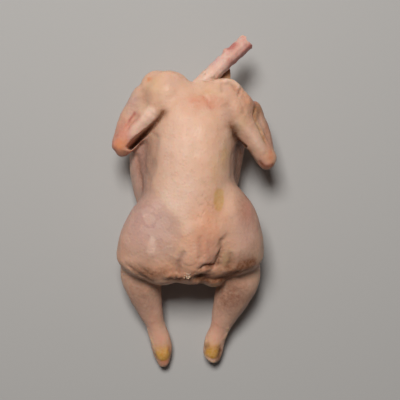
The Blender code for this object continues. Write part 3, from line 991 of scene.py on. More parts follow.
def violet_and_painted_shade_zone(p, q):
    """Muscle that shows through thin skin: a clear patch on the left thigh, and softer on legs, flanks and breast.
    On the flanks below the wings and on the calves the violet is also painted shade that darkens them.
    """
    side = from_line(q, VIOLET_EDGE, reach=90).side
    violet = 1.0 * smooth_step(-side, -0.8, 1.2) * near(p, (-40, -26, 92), (34, 36, 44))
    violet += 0.6 * near(p, (62, -30, 84), (18, 32, 36)) + 0.5 * near(p, (-66, -50, 56), (26, 30, 40))
    # The calves' violet here, and the flanks' below, are painted shade as well as muscle showing through.
    violet += 0.6 * near(p, (54, -112, 40), (22, 30, 30)) + 0.5 * near(p, (-50, -118, 34), (22, 34, 30))
    violet += 0.9 * near(p, (-62, 36, 66), (18, 46, 30)) * off_arms(p) + 0.9 * near(p, (-74, 108, 74), (8, 18, 16))
    violet += 0.8 * near(p, (58, 50, 60), (18, 50, 34)) * off_arms(p) + 0.5 * near_line(p, CREASE["rump furrow"].line, 5)
    violet += 0.45 * near(p, (30, 125, 99), (9, 6, 9)) + 0.3 * near(p, (34, 96, 100), (6, 14, 12))
    return violet + 0.5 * near(p, (-30, 130, 94), (9, 7, 12)) + 0.25 * near(p, (-28, 54, 112), (12, 36, 20))


def pale_and_painted_light_zone(p, q):
    """Thick white fat: mottling and a border on the left thigh, the arms' bones, the hem, the elbows' tips and the torn
    edge of the tail. A broad lightening lies over the top of the back. Two pale ovals on the left thigh are painted
    highlights, glints of wet skin, and the strong pale along the left arm's bone is partly painted light on its top.
    """
    mottled = smooth_step(patches(q + 2.5 * noise(q, 7.0, 75)[:, None], 11.0, 76), 0.55, 0.65)
    pale = 0.2 * mottled * near(p, (-36, -34, 96), (26, 34, 40)) + 0.12 * mottled
    # Painted highlights: the two pale ovals stand for glints of wet skin.
    pale += 0.4 * oval(p, (-46, -24, 103), (7, 7, 14)) + 0.5 * oval(p, (-42, -53, 99), (5.5, 10, 14))
    pale += 0.7 * near(p, (-8, 4, 114), (24, 26, 24)) + 0.6 * near_line(q, CREAM_LINE, 6)
    pale += 0.3 * near(p, (-12, 60, 114), (26, 50, 26)) + 0.9 * near_line(q, [(79, 41), (83, 39.5), (88, 40)], 2.6, 0.3)
    pale += 0.9 * near_line(q, [(-92, 49), (-88, 45.5), (-83, 45)], 3.0, 0.3) + 0.2 * near_line(q, TORN_EDGE, 3)
    # Painted light as well as pale skin: the left arm's bone is made brighter along its top.
    pale += 1.3 * near_line(q, ARM_BAR, 6.5, 0.08)
    pale += 0.5 * near_line(q, RIDGE["right arm bone"].line, 6) + 0.3 * near(q, (-51, 96, 94), (6, 6, 9))
    pale += 0.9 * near_line(q, RIDGE["front hem right"].line, 2.6)
    return pale + 0.6 * near_line(q, RIDGE["front hem middle"].line, 2)


def blood_zone(q):
    """Small dark red marks: the streak in the left web, the vent's edge and a few bruises."""
    blood = 1.0 * near_line(q, [(-68, 97), (-71, 93), (-75, 87), (-80, 79)], 1.7, 0.3)
    blood += 0.7 * near(q, (64, 117, 76), (4, 4, 9)) + 0.9 * near(q, (21.5, -83, 80), (3.2, 4.5, 8))
    blood += 0.6 * near_line(q, [(-6, -89), (0, -89), (6, -88)], 1.3)
    return blood + 0.9 * near_line(q, RIGHT_ELBOW_CUT, 3.0)


def painted_shade_and_marks_zone(p, q):
    """Painted shade, mixed into the skin's colour as a dark tint: in the creases, under the arms, in and under the
    vent, under the torn edge of the tail, the rump's left lobe and the right thigh, on both flanks, both calves and the
    right hip, in the right wing's web, at the hocks' tips and along their pads' edges, in the furrows of the fat on
    the low back, and faintly over the nape. Real marks as well: the elbows' cut edges and a few at the neck's base.
    """
    # Dark brown here is painted shade, apart from the marks along the elbows' cut edges and at the base of the neck.
    bands = [near_line(q, c.line, 0.5 * (c.left + c.right)) * c.shade for c in CREASES if c.shade > 0]
    painted_shade_and_marks = np.sum(bands, axis=0) + 1.6 * near(q, (13, -84.5, 82), (8, 4.5, 10)) + 0.7 * near(q, (15, -92, 74), (13, 5, 10))
    painted_shade_and_marks += 1.1 * in_armpits(q, 6.0)
    painted_shade_and_marks += 0.8 * near_line(q, RIGHT_ELBOW_CUT, 2.0) + 0.35 * near_line(q, LEFT_ELBOW_EDGE, 3.0)
    painted_shade_and_marks += 1.1 * near_line(p, [(34, -87), (43, -84.5), (51, -80), (61, -74), (71, -67), (79, -60)], 6.0, 0.2)
    painted_shade_and_marks += 0.3 * near_line(p, [(-68, -76), (-55, -83), (-44, -90), (-34, -95)], 6)
    painted_shade_and_marks += 0.3 * fat_furrows(q) * near(q, FATTY_PLACE, FATTY_SIZE) + 0.7 * near(p, (65, 103, 74), (3.5, 10, 14))
    painted_shade_and_marks += 0.85 * near(p, (-39, -84, 64), (18, 8, 44)) + 0.8 * near(p, (-12, -87, 84), (18, 5, 16))
    painted_shade_and_marks += 0.55 * smooth_step(-p[:, 0], 35, 50) * near(p, (-60, 38, 78), (26, 46, 36)) * off_arms(p)
    painted_shade_and_marks += 0.55 * near(p, (-50, -110, 44), (24, 26, 30)) + 0.85 * near(p, (52, -108, 48), (26, 26, 30))
    painted_shade_and_marks += 0.35 * near(p, (70, -42, 68), (14, 34, 26)) + 0.6 * near(p, (31, -88, 76), (14, 5, 12))
    painted_shade_and_marks += 0.9 * near(p, (61, -68, 76), (15, 9, 28)) + 0.35 * near(p, (56, -4, 96), (9, 18, 22))
    painted_shade_and_marks += 0.5 * near(p, (45, -76, 80), (8, 6, 14)) + 0.35 * near(q, (35, -80, 86), (8, 5, 12))
    painted_shade_and_marks += 0.9 * near(p, (54, 45, 60), (12, 50, 30)) * off_arms(p)
    painted_shade_and_marks += 0.5 * near(q, (-20, -196, 14), (8, 5, 9)) + 0.8 * near(q, (40, -188, 14), (9, 5, 8))
    painted_shade_and_marks += 0.45 * near(p, (80, 84, 68), (8, 20, 18)) + 0.6 * near(p, (71, 110, 74), (7, 10, 16))
    painted_shade_and_marks += 0.8 * near(q, (42, -176, 20), (3, 9, 9)) + 0.6 * near(q, (28.5, -171, 22), (3, 4, 8))
    painted_shade_and_marks += 0.10 * near(p, (10, 118, 100), (45, 20, 30)) + 0.4 * near_line(q, [(4, 133), (12, 136), (19, 134)], 2.0)
    return painted_shade_and_marks + 0.45 * hock_edges(q)


def skin_zones(points):
    """Each mask is a sum of soft blobs and bands at places moved by noise, which breaks up their edges."""
    p = wavering(points, 3.0, 9.0, 50)
    q = wavering(points, 1.2, 4.0, 60)
    return {
        "violet": violet_and_painted_shade_zone(p, q), "pale": pale_and_painted_light_zone(p, q), "yellow": yellow_zone(p, q),
        "pink": pink_zone(p, q), "orange": orange_zone(p, q), "blood": blood_zone(q),
        "pad": hock_pads(q), "rim": np.max([near_line(q, line, 1.6, 0.08) for line in RIM_LINES], axis=0),
        "painted_shade_and_marks": painted_shade_and_marks_zone(p, q), "patch": patches(wavering(points, 5.0, 14.0, 71), 26.0, 73),
    }


for name, mask in skin_zones(points).items():
    put_attribute(skin.data, name, mask)
    print("zone", name, "covers", round(100 * float((mask > 0.3).mean()), 1), "% of the points")

# %% [markdown]
# ## Effects that the materials share
#
# Skin, bare flesh and the hock pads all have fine grain, blotches of colour and a broken wet shine. Each effect is
# a node group with named sockets, built once and placed in each material with its own values, so that one change
# reaches every material. The groups put out masks and heights only, and the shader stays in the material.

# %% Node groups: pores, blotches and damp
def new_group(name, inputs, outputs):
    """An empty shader group with float inputs, as {name: default}, and float outputs."""
    group = bpy.data.node_groups.new(name, "ShaderNodeTree")
    for label, value in inputs.items():
        group.interface.new_socket(label, in_out="INPUT", socket_type="NodeSocketFloat").default_value = value
    for label in outputs:
        group.interface.new_socket(label, in_out="OUTPUT", socket_type="NodeSocketFloat")
    return group, group.nodes.new("NodeGroupInput"), group.nodes.new("NodeGroupOutput")


def node(tree, kind, links=None, **settings):
    """A node of that kind with its properties set and its inputs filled: a socket is linked, a value is set."""
    made = tree.nodes.new(kind)
    for key, value in settings.items():
        setattr(made, key, value)
    for key, value in (links or {}).items():
        if isinstance(value, bpy.types.NodeSocket):
            tree.links.new(value, made.inputs[key])
        else:
            made.inputs[key].default_value = value
    return made


def maths(tree, operation, first, second=0.0, clamp=False):
    """One step of arithmetic; gives its output socket."""
    made = node(tree, "ShaderNodeMath", {0: first, 1: second}, operation=operation, use_clamp=clamp)
    return made.outputs[0]


def object_place(tree):
    return tree.nodes.new("ShaderNodeTexCoord").outputs["Object"]


def pores_group():
    """Height: a low cone over each follicle, from Voronoi cells of warped coordinates. Dot: 1 in its middle."""
    group, given, out = new_group("pores", {"Spacing": 0.004, "Warp": 0.0015}, ["Height", "Dot"])
    place = object_place(group)
    bend = node(group, "ShaderNodeTexNoise", {"Vector": place, "Scale": 110.0, "Detail": 1.0})
    shift = node(
        group, "ShaderNodeVectorMath", {0: bend.outputs["Color"], 1: (0.5, 0.5, 0.5)}, operation="SUBTRACT"
    )
    shift = node(group, "ShaderNodeVectorMath", {0: shift.outputs[0], "Scale": given.outputs["Warp"]}, operation="SCALE")
    moved = node(group, "ShaderNodeVectorMath", {0: place, 1: shift.outputs[0]}, operation="ADD")
    scale = maths(group, "DIVIDE", 1.0, given.outputs["Spacing"])
    cells = node(group, "ShaderNodeTexVoronoi", {"Vector": moved.outputs[0], "Scale": scale, "Randomness": 0.75})
    cone = node(
        group, "ShaderNodeMapRange",
        {"Value": cells.outputs["Distance"], "From Min": 0.05, "From Max": 0.55, "To Min": 1.0, "To Max": 0.0},
        interpolation_type="SMOOTHSTEP",
    )
    dot = node(
        group, "ShaderNodeMapRange",
        {"Value": cells.outputs["Distance"], "From Min": 0.06, "From Max": 0.2, "To Min": 1.0, "To Max": 0.0},
        interpolation_type="SMOOTHSTEP",
    )
    group.links.new(cone.outputs[0], out.inputs["Height"])
    group.links.new(dot.outputs[0], out.inputs["Dot"])
    return group


def blotch_group():
    """Mask: fractal noise at that size, spread from 0 to 1. Fine: the same at a sixth of the size."""
    group, given, out = new_group("blotch", {"Size": 0.02, "Contrast": 1.0}, ["Mask", "Fine"])
    place = object_place(group)
    scale = maths(group, "DIVIDE", 1.0, given.outputs["Size"])
    for label, factor in (("Mask", 1.0), ("Fine", 6.0)):
        cloud = node(
            group, "ShaderNodeTexNoise",
            {"Vector": place, "Scale": maths(group, "MULTIPLY", scale, factor), "Detail": 4.0, "Roughness": 0.6},
        )
        centred = maths(group, "SUBTRACT", cloud.outputs["Fac"], 0.5)
        spread_out = maths(group, "MULTIPLY", centred, maths(group, "MULTIPLY", given.outputs["Contrast"], 2.6))
        group.links.new(maths(group, "ADD", spread_out, 0.5, clamp=True), out.inputs[label])
    return group


def damp_group():
    """Roughness between two values: smooth where a noise is high, as if wet, and duller where it is low."""
    group, given, out = new_group("damp", {"Wet": 0.25, "Dry": 0.5, "Size": 0.012}, ["Roughness"])
    place = object_place(group)
    scale = maths(group, "DIVIDE", 1.0, given.outputs["Size"])
    cloud = node(group, "ShaderNodeTexNoise", {"Vector": place, "Scale": scale, "Detail": 3.0})
    range_node = node(
        group, "ShaderNodeMapRange",
        {
            "Value": cloud.outputs["Fac"], "From Min": 0.35, "From Max": 0.65,
            "To Min": given.outputs["Dry"], "To Max": given.outputs["Wet"],
        },
    )
    group.links.new(range_node.outputs[0], out.inputs["Roughness"])
    return group


PORES, BLOTCH, DAMP = pores_group(), blotch_group(), damp_group()
print("node groups:", PORES.name, BLOTCH.name, DAMP.name)

# %% [markdown]
# ## The skin's material
#
# Raw skin lets light in: it scatters in the fat below and comes out warmer, which subsurface scattering gives.
# Its colour starts from a pale peach, each zone mask mixes in its own tint, and blotches vary all of them. The
# follicles raise small bumps that a mesh this size can't hold, so they are a Bump node over the real relief.

# %% Skin material
def use_group(tree, group, **values):
    """Places a node group in a tree; names of inputs with a space are given with an underscore."""
    made = node(tree, "ShaderNodeGroup", node_tree=group)
    for key, value in values.items():
        made.inputs[key.replace("_", " ")].default_value = value
    return made


def mixed(tree, amount, first, second):
    """Colour between first and second by amount; gives its output socket."""
    made = node(tree, "ShaderNodeMix", data_type="RGBA")
    for place, value in ((0, amount), (6, first), (7, second)):
        if isinstance(value, bpy.types.NodeSocket):
            tree.links.new(value, made.inputs[place])
        else:
            made.inputs[place].default_value = value if place == 0 else (*value, 1)
    return made.outputs[2]


def attribute(tree, name):
    return node(tree, "ShaderNodeAttribute", attribute_name=name).outputs["Fac"]


def new_material(name):
    material = bpy.data.materials.new(name)
    material.use_nodes = True
    return material, material.node_tree, material.node_tree.nodes["Principled BSDF"]


PEACH = (0.79, 0.485, 0.34)
PEACH_DARK = (0.73, 0.41, 0.275)
ZONE_TINTS = {
    # The violet tint is muscle under thin skin, and also painted shade on the flanks and calves.
    "violet": ((0.56, 0.345, 0.325), 0.78),
    # The pale tint is white fat, and also painted light on the left arm's bone and painted glints on the left thigh.
    "pale": ((0.90, 0.66, 0.54), 0.78),
    "yellow": ((0.68, 0.43, 0.17), 0.8),
    "pink": ((0.70, 0.27, 0.20), 0.8),
    "orange": ((0.72, 0.29, 0.14), 0.85),
    "blood": ((0.50, 0.13, 0.10), 0.8),
    "pad": ((0.66, 0.35, 0.07), 0.92),
    "rim": ((0.56, 0.42, 0.26), 0.8),
    # Painted shade: this dark brown darkens creases, hollows and sides turned from the light, besides a few real marks.
    "painted_shade_and_marks": ((0.235, 0.088, 0.038), 0.86),
}


def skin_material():
    """Peach skin tinted by the zones, blotched, with follicle bumps and a broken wet shine."""
    material, tree, shader = new_material("raw skin")
    broad = use_group(tree, BLOTCH, Size=0.022, Contrast=0.8)
    colour = mixed(tree, maths(tree, "MULTIPLY", broad.outputs["Mask"], 0.5), PEACH, PEACH_DARK)
    colour = mixed(tree, maths(tree, "MULTIPLY", attribute(tree, "patch"), 0.3), colour, (0.70, 0.50, 0.37))
    waxy = mixed(tree, broad.outputs["Fine"], (0.76, 0.44, 0.11), (0.64, 0.30, 0.05))
    for name, (tint, strength) in ZONE_TINTS.items():
        uneven = maths(tree, "ADD", maths(tree, "MULTIPLY", broad.outputs["Fine"], 0.6), 0.7)
        amount = maths(tree, "MULTIPLY", maths(tree, "MULTIPLY", attribute(tree, name), uneven), strength, clamp=True)
        colour = mixed(tree, amount, colour, waxy if name == "pad" else tint)
    pores = use_group(tree, PORES, Spacing=0.0042, Warp=0.002)
    speck = maths(tree, "MULTIPLY", pores.outputs["Dot"], 0.18)
    colour = mixed(tree, speck, colour, (0.62, 0.36, 0.25))
    tree.links.new(colour, shader.inputs["Base Color"])
    damp = use_group(tree, DAMP, Wet=0.46, Dry=0.62, Size=0.010)
    tree.links.new(damp.outputs[0], shader.inputs["Roughness"])
    grain = node(tree, "ShaderNodeTexNoise", {"Vector": object_place(tree), "Scale": 900.0, "Detail": 3.0})
    height = maths(tree, "ADD", pores.outputs["Height"], maths(tree, "MULTIPLY", grain.outputs["Fac"], 0.6))
    bump = node(tree, "ShaderNodeBump", {"Height": height, "Strength": 0.3, "Distance": 0.0006})
    tree.links.new(bump.outputs[0], shader.inputs["Normal"])
    shader.inputs["Subsurface Weight"].default_value = 0.35
    shader.inputs["Subsurface Radius"].default_value = (1.0, 0.35, 0.18)
    shader.inputs["Subsurface Scale"].default_value = 0.006
    shader.inputs["Coat Weight"].default_value = 0.03
    shader.inputs["Coat Roughness"].default_value = 0.25
    shader.inputs["Specular IOR Level"].default_value = 0.3
    return material


SKIN = skin_material()
skin.data.materials.append(SKIN)
print("skin material with", len(SKIN.node_tree.nodes), "nodes")

# %% [markdown]
# ## The bare neck
#
# The neck was skinned and cut square. Its long muscles show as soft strands that twist a little, with bumps where
# the vertebrae lie, and its end shows meat round a ring of bone and the canal inside it. One surface does all of
# this: rows of points run along the neck, then over the cut face from its rim to its middle.

# %% Neck
NECK_RADIUS = 10.4
NECK_PATH = [Ring(-8, 118, 84, 10.0, 9.5), Ring(8, 136.5, 84.5, 9.3, 9.2), Ring(28, 159, 77, 8.9, 9.2),
             Ring(50.6, 184.0, 62.5, 9.4, 9.2)]
NECK_ROWS = 230
NECK_SIDES = 150
CUT_ROWS = 44
BONE_RADIUS = 0.42
CANAL_RADIUS = 0.17


def neck_grid():
    """Radius at (t, turn): the path's own, times 1 plus cosines for strands and vertebrae. Face: out by bone and canal."""
    rows = spread(NECK_PATH, NECK_ROWS)
    centre, size = rows[:, :3], rows[:, 3:]
    along = unit(np.gradient(centre, axis=0))
    t = np.linspace(0, 1, NECK_ROWS)[:, None]
    turn = np.linspace(0, 2 * math.pi, NECK_SIDES, endpoint=False)[None]
    strands = 0.028 * np.cos(4 * turn + 2.4 * t) + 0.012 * np.cos(9 * turn - 3.0 * t + 1.0)
    bones = 0.03 * np.cos(2 * math.pi * 8 * t) * (0.5 + 0.5 * np.cos(2 * turn))
    tab = 0.22 * np.exp(-(((t - 0.75) / 0.03) ** 2) - ((turn - 2.9) / 0.35) ** 2)
    radius = 1 + (strands + bones) * smooth_step(t, 0.2, 0.6) + tab
    share = np.linspace(1, 0, CUT_ROWS + 1)[1:, None]
    bone = np.exp(-(((share - 0.5 * (BONE_RADIUS + CANAL_RADIUS)) / 0.11) ** 2))
    canal = np.exp(-((share / CANAL_RADIUS) ** 2))
    rim = np.exp(-(((share - 0.92) / 0.07) ** 2))
    height = (1.0 * bone - 2.2 * canal + 0.5 * rim) * np.ones_like(turn)
    ragged = 1.6 * np.cos(2 * turn + 0.6) + 0.9 * np.cos(5 * turn + 2.0) + 0.6 * np.cos(9 * turn + 1.0)
    height = height + ragged * share**2
    centre = np.vstack([centre, centre[-1:].repeat(CUT_ROWS, 0)])
    along = np.vstack([along, along[-1:].repeat(CUT_ROWS, 0)])
    size = np.vstack([size, size[-1:].repeat(CUT_ROWS, 0)])
    radius = np.vstack([radius, radius[-1:] * share])
    height = np.vstack([ragged * smooth_step(t, 0.93, 1.0), height])
    side, lift = cross_axes(along)
    points = centre[:, None] + along[:, None] * height[..., None]
    points = points + side[:, None] * (radius * np.cos(turn))[..., None] * size[:, None, :1]
    points = points + lift[:, None] * (radius * np.sin(turn))[..., None] * size[:, None, 1:]
    return points


def closed_piece(name, grid, first_end=True, last_end=True):
    """A mesh of a grid that is closed round its columns, with its end rows filled, facing outwards."""
    rows, columns = grid.shape[:2]
    faces = grid_faces(rows, columns)
    if first_end:
        faces.append(np.arange(columns)[::-1].tolist())
    if last_end:
        faces.append(((rows - 1) * columns + np.arange(columns)).tolist())
    obj = added(name, new_mesh(name, grid.reshape(-1, 3), faces))
    obj.data.shade_smooth()
    return obj


def roughen(obj, amount):
    """Moves each point along its normal by amount, worked out from its place."""
    points, normals = points_of(obj.data), normals_of(obj.data)
    set_points(obj.data, points + normals * amount(points)[:, None])


def neck_lumps(points):
    """Soft lumps of meat, torn threads running along the neck, and a raw grain on the cut face."""
    along = unit(np.array([0.62, 0.74, -0.42]))
    flat = points - 0.82 * (points @ along)[:, None] * along
    return 0.30 * rough_noise(points, 7.0, 61) + 0.22 * noise(turned(flat), 2.4, 67)


neck = closed_piece("neck", neck_grid())
roughen(neck, neck_lumps)
neck_points = points_of(neck.data)


def around(turn, middle, width):
    """Bell of the turn round the neck, which starts on its right side and rises over its top."""
    gap = (turn - middle + math.pi) % (2 * math.pi) - math.pi
    return bell(gap, width)


def neck_zones(points):
    """Masks by the share along the neck, the turn round it and the share out from the cut's middle."""
    rows, cut = np.ones(NECK_ROWS), np.ones(CUT_ROWS)
    along = np.concatenate([np.linspace(0, 1, NECK_ROWS), cut]).repeat(NECK_SIDES)
    out = np.concatenate([rows, np.linspace(1, 0, CUT_ROWS + 1)[1:]]).repeat(NECK_SIDES)
    turn = np.tile(np.linspace(0, 2 * math.pi, NECK_SIDES, endpoint=False), NECK_ROWS + CUT_ROWS)
    along = along + 0.04 * noise(points, 5.0, 77)
    turn = turn + 0.35 * noise(points, 4.0, 78)
    blood = around(turn, 0.45, 0.8) * smooth_step(along, 0.52, 0.72) + 1.3 * around(turn, 2.4, 0.6) * bell(along - 0.82, 0.07)
    blood += 0.35 * smooth_step(rough_noise(points, 9.0, 71), 0.05, 0.75) * smooth_step(along, 0.45, 0.75)
    return {
        "blood": blood + 0.5 * (out < 0.9) * (out > BONE_RADIUS),
        "cover": smooth_step(-along, -0.60, -0.40), "violet": around(turn, 2.6, 0.6) * bell(along - 0.56, 0.10),
        "stain": smooth_step(noise(points, 3.0, 79), 0.0, 0.4) * bell(along - 0.38, 0.04),
        "bone": smooth_step(out, 0.50, 0.40) * smooth_step(out, 0.14, 0.22), "canal": smooth_step(out, 0.20, 0.12),
    }


for name, mask in neck_zones(neck_points).items():
    put_attribute(neck.data, name, mask)
print("neck:", len(neck.data.polygons), "faces")

# %% [markdown]
# ## A flap of skin beside the neck
#
# Where the neck was freed, a yellowish flap of skin hangs beside it, in its shade, which is painted into its colour
# as dark brown. It is a tube of very flat oval rings, so it has two faces and a rounded edge as a real sheet of skin
# does, and noise crumples it.

# %% Flap of skin
flap_rings = [Ring(20, 122, 76, 13, 3.0), Ring(26, 136, 72, 9.5, 2.0), Ring(29, 145, 68, 6.5, 1.6),
              Ring(31, 152, 64, 3.5, 1.3)]
neck_flap = closed_piece("neck_flap", tube(flap_rings))
roughen(neck_flap, lambda points: 0.7 * noise(points, 5.0, 83) + 0.25 * noise(points, 2.0, 89))
# The flap's brown mask is painted shade over its yellow: it lies in the neck's shadow.
for mask_name, value in (("yellow", 0.7), ("painted_shade_and_marks", 0.85)):
    put_attribute(neck_flap.data, mask_name, np.full(len(neck_flap.data.vertices), value))
neck_flap.data.materials.append(SKIN)
subdivided(neck_flap)
neck_flap.data.shade_smooth()
print("flap:", len(neck_flap.data.polygons), "faces")

# %% [markdown]
# ## Scraps of fat
#
# Trimming leaves small curls and grains of white fat along the tail. Each is a squashed, dented ball. They are
# all made at once: one grid of directions, times a random size and turn for each, and noise dents them.

# %% Fat scraps along the tail
def outwards(obj):
    """Turns all faces to point out of the closed mesh, judged by its signed volume."""
    points = points_of(obj.data)
    obj.data.calc_loop_triangles()
    corners = np.empty(len(obj.data.loop_triangles) * 3, np.int32)
    obj.data.loop_triangles.foreach_get("vertices", corners)
    a, b, c = (points[corners.reshape(-1, 3)[:, k]] for k in range(3))
    if np.einsum("ij,ij->", a, np.cross(b, c)) < 0:
        obj.data.flip_normals()
    return obj


SCRAP_ROWS = 12
SCRAP_SIDES = 16
Scraps = namedtuple("Scraps", "line count size spread_out seed")

SCRAP_LINES = [
    Scraps([(-3, -87.5), (1, -86.5), (5, -84.5)], 15, 1.0, 2.4, 5),
]


def highest_near(places, reach=2.5):
    """For each place in plan, the point of the skin that lies highest within reach of it."""
    points = points_of(skin.data)
    gap = np.linalg.norm(points[None, :, :2] - places[:, None], axis=2)
    score = np.where(gap < reach, points[None, :, 2], -1e3 - gap)
    return points[score.argmax(axis=1)]


def scrap_grid(scraps):
    """Balls of directions (rise, turn), scaled by three random half sizes each and dented by noise."""
    draw = np.random.default_rng(scraps.seed)
    line = spread(scraps.line, scraps.count)
    places = highest_near(line + draw.normal(0, scraps.spread_out, line.shape) * 0.6)
    rise = np.linspace(-math.pi / 2, math.pi / 2, SCRAP_ROWS)[:, None]
    turn = np.linspace(0, 2 * math.pi, SCRAP_SIDES, endpoint=False)[None]
    ball_points = np.stack([np.cos(rise) * np.cos(turn), np.cos(rise) * np.sin(turn), np.sin(rise) + 0 * turn], -1)
    half = scraps.size * draw.uniform((0.7, 0.6, 0.5), (1.6, 1.2, 1.0), (scraps.count, 3))[:, None, None]
    spin = draw.uniform(0, math.pi, scraps.count)
    c, s = np.cos(spin), np.sin(spin)
    turns = np.stack([np.stack([c, s], -1), np.stack([-s, c], -1)], -2)
    shaped = ball_points[None] * half
    shaped[..., :2] = np.einsum("nrck,nkj->nrcj", shaped[..., :2], turns)
    bend = 0.12 * (shaped[..., :1] ** 2 - shaped[..., 1:2] ** 2) / scraps.size
    shaped = shaped + bend * np.array([0.0, 0.6, 1.0])
    return places[:, None, None] + shaped - np.array([0.0, 0.0, 0.4 * scraps.size])


shells = [grid for scraps in SCRAP_LINES for grid in scrap_grid(scraps)]
fat_scraps = outwards(added("fat_scraps", joined("fat_scraps", shells)))
roughen(fat_scraps, lambda points: 0.55 * noise(points, 1.6, 101) + 0.25 * noise(points, 0.8, 103))
fat_points = points_of(fat_scraps.data)
# Painted highlight: the paler cream near the middle of the torn edge stands for light caught by a few crumbs.
put_attribute(fat_scraps.data, "cream", near(fat_points, (2, -86, 88), (5, 5, 14)))
fat_scraps.data.shade_smooth()
print("fat scraps:", len(shells), "in", len(fat_scraps.data.polygons), "faces")

# %% [markdown]
# ## Bare flesh and fat
#
# These two share the skin's node groups with other values: the flesh is wetter and more blotched, and the fat is
# pale with little grain. Both scatter light, but over different depths. The yellow pads are a zone of the skin.

# %% The other materials
def flesh_material():
    """Skinned neck: pale pink sheath, red where the meat shows, cream bone and a dark canal on the cut."""
    material, tree, shader = new_material("bare flesh")
    broad = use_group(tree, BLOTCH, Size=0.010, Contrast=1.1)
    colour = mixed(tree, broad.outputs["Mask"], (0.82, 0.55, 0.45), (0.75, 0.42, 0.34))
    colour = mixed(tree, maths(tree, "MULTIPLY", attribute(tree, "cover"), 0.8), colour, (0.78, 0.52, 0.40))
    colour = mixed(tree, maths(tree, "MULTIPLY", attribute(tree, "violet"), 0.7), colour, (0.60, 0.35, 0.36))
    colour = mixed(tree, maths(tree, "MULTIPLY", attribute(tree, "stain"), 0.7), colour, (0.40, 0.22, 0.14))
    blood_amount = maths(tree, "MULTIPLY", attribute(tree, "blood"), 0.85)
    colour = mixed(tree, blood_amount, colour, (0.47, 0.08, 0.07))
    colour = mixed(tree, attribute(tree, "bone"), colour, (0.80, 0.66, 0.52))
    colour = mixed(tree, attribute(tree, "canal"), colour, (0.22, 0.04, 0.03))
    colour = mixed(tree, maths(tree, "MULTIPLY", broad.outputs["Fine"], 0.22), colour, (0.86, 0.70, 0.60))
    tree.links.new(colour, shader.inputs["Base Color"])
    damp = use_group(tree, DAMP, Wet=0.34, Dry=0.52, Size=0.006)
    tree.links.new(damp.outputs[0], shader.inputs["Roughness"])
    grain = node(tree, "ShaderNodeTexNoise", {"Vector": object_place(tree), "Scale": 700.0, "Detail": 4.0})
    bump = node(tree, "ShaderNodeBump", {"Height": grain.outputs["Fac"], "Strength": 0.3, "Distance": 0.0005})
    tree.links.new(bump.outputs[0], shader.inputs["Normal"])
    shader.inputs["Subsurface Weight"].default_value = 0.3
    shader.inputs["Subsurface Radius"].default_value = (1.0, 0.28, 0.15)
    shader.inputs["Subsurface Scale"].default_value = 0.004
    shader.inputs["Coat Weight"].default_value = 0.06
    shader.inputs["Specular IOR Level"].default_value = 0.3
    shader.inputs["Coat Roughness"].default_value = 0.2
    return material


def fat_material():
    """Scraps of fat: cream, yellower in blotches, soft and slightly wet; the paler cream spot is a painted highlight.
    """
    material, tree, shader = new_material("fat")
    broad = use_group(tree, BLOTCH, Size=0.006, Contrast=1.0)
    colour = mixed(tree, broad.outputs["Mask"], (0.74, 0.45, 0.30), (0.58, 0.27, 0.15))
    colour = mixed(tree, attribute(tree, "cream"), colour, (0.84, 0.63, 0.48))
    tree.links.new(colour, shader.inputs["Base Color"])
    damp = use_group(tree, DAMP, Wet=0.22, Dry=0.45, Size=0.004)
    tree.links.new(damp.outputs[0], shader.inputs["Roughness"])
    grain = node(tree, "ShaderNodeTexNoise", {"Vector": object_place(tree), "Scale": 1100.0, "Detail": 2.0})
    bump = node(tree, "ShaderNodeBump", {"Height": grain.outputs["Fac"], "Strength": 0.2, "Distance": 0.0004})
    tree.links.new(bump.outputs[0], shader.inputs["Normal"])
    shader.inputs["Subsurface Weight"].default_value = 0.4
    shader.inputs["Subsurface Radius"].default_value = (1.0, 0.6, 0.35)
    shader.inputs["Subsurface Scale"].default_value = 0.003
    return material


neck.data.materials.append(flesh_material())
fat_scraps.data.materials.append(fat_material())
print("materials:", sorted(m.name for m in bpy.data.materials if m.users))

# %% [markdown]
# ## Joining the bird to its frame
#
# Every piece rides on the part's one body, and the skin stands for the imported solid, which stays for collision.

# %% Ride and replace
SKIN_PIECES = [skin, neck_flap]
OTHER_PIECES = [neck, fat_scraps]
for piece in SKIN_PIECES + OTHER_PIECES:
    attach(piece, "root")
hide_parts("chicken")
print("pieces:", [piece.name for piece in SKIN_PIECES + OTHER_PIECES])

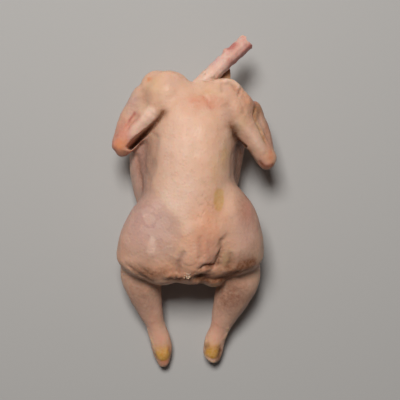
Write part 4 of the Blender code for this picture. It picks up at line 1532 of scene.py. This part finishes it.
# %% [markdown]
# ## Floor, light and camera
#
# The bird lies on a plain pale floor. One broad soft light stands beyond the neck, so that the shade deepens
# towards the legs, and a dim warm sky fills the shade. The camera looks straight down, as in the photo.

# %% Floor, light and camera
EYE_HEIGHT = 1.3
FRAMED_WIDTH = 0.46
FOCUS_HEIGHT = 0.06
SENSOR = 36.0
EYE_ROLL = math.radians(3.5)


def floor_mesh(half=3.0):
    corners = [(-half, -half, 0), (half, -half, 0), (half, half, 0), (-half, half, 0)]
    mesh = bpy.data.meshes.new("floor")
    mesh.from_pydata(corners, [], [(0, 1, 2, 3)])
    return mesh


def soft_light(name, place, target, size, power, colour=(1, 1, 1)):
    """A square lamp at place, turned to look at target."""
    lamp = bpy.data.lights.new(name, "AREA")
    lamp.size, lamp.energy, lamp.color = size, power, colour
    obj = bpy.data.objects.new(name, lamp)
    bpy.context.scene.collection.objects.link(obj)
    obj.location = place
    way = np.array(target) - np.array(place)
    obj.rotation_euler = (math.atan2(math.hypot(way[0], way[1]), -way[2]), 0, math.atan2(way[0], -way[1]) + math.pi)
    return obj


floor = added("floor", floor_mesh())
floor_material, floor_tree, floor_shader = new_material("floor")
floor_shader.inputs["Base Color"].default_value = (0.46, 0.455, 0.45, 1)
floor_shader.inputs["Roughness"].default_value = 0.7
floor.data.materials.append(floor_material)

soft_light("key", (-0.32, 0.98, 2.28), (0, 0, 0.06), 0.8, 54.0, (1.0, 0.97, 0.93))

scene = bpy.context.scene
scene.world = bpy.data.worlds.new("studio")
scene.world.use_nodes = True
scene.world.node_tree.nodes["Background"].inputs["Color"].default_value = (1.0, 0.96, 0.92, 1)
scene.world.node_tree.nodes["Background"].inputs["Strength"].default_value = 0.05
scene.view_settings.view_transform = "Standard"

camera = bpy.data.objects.new("camera", bpy.data.cameras.new("camera"))
scene.collection.objects.link(camera)
camera.location = (0.0092, 0.0006, EYE_HEIGHT)
camera.rotation_euler = (0, 0, EYE_ROLL)
camera.data.sensor_width = SENSOR
camera.data.lens = SENSOR * (EYE_HEIGHT - FOCUS_HEIGHT) / FRAMED_WIDTH
scene.camera = camera
print("lens:", round(camera.data.lens, 1), "mm")
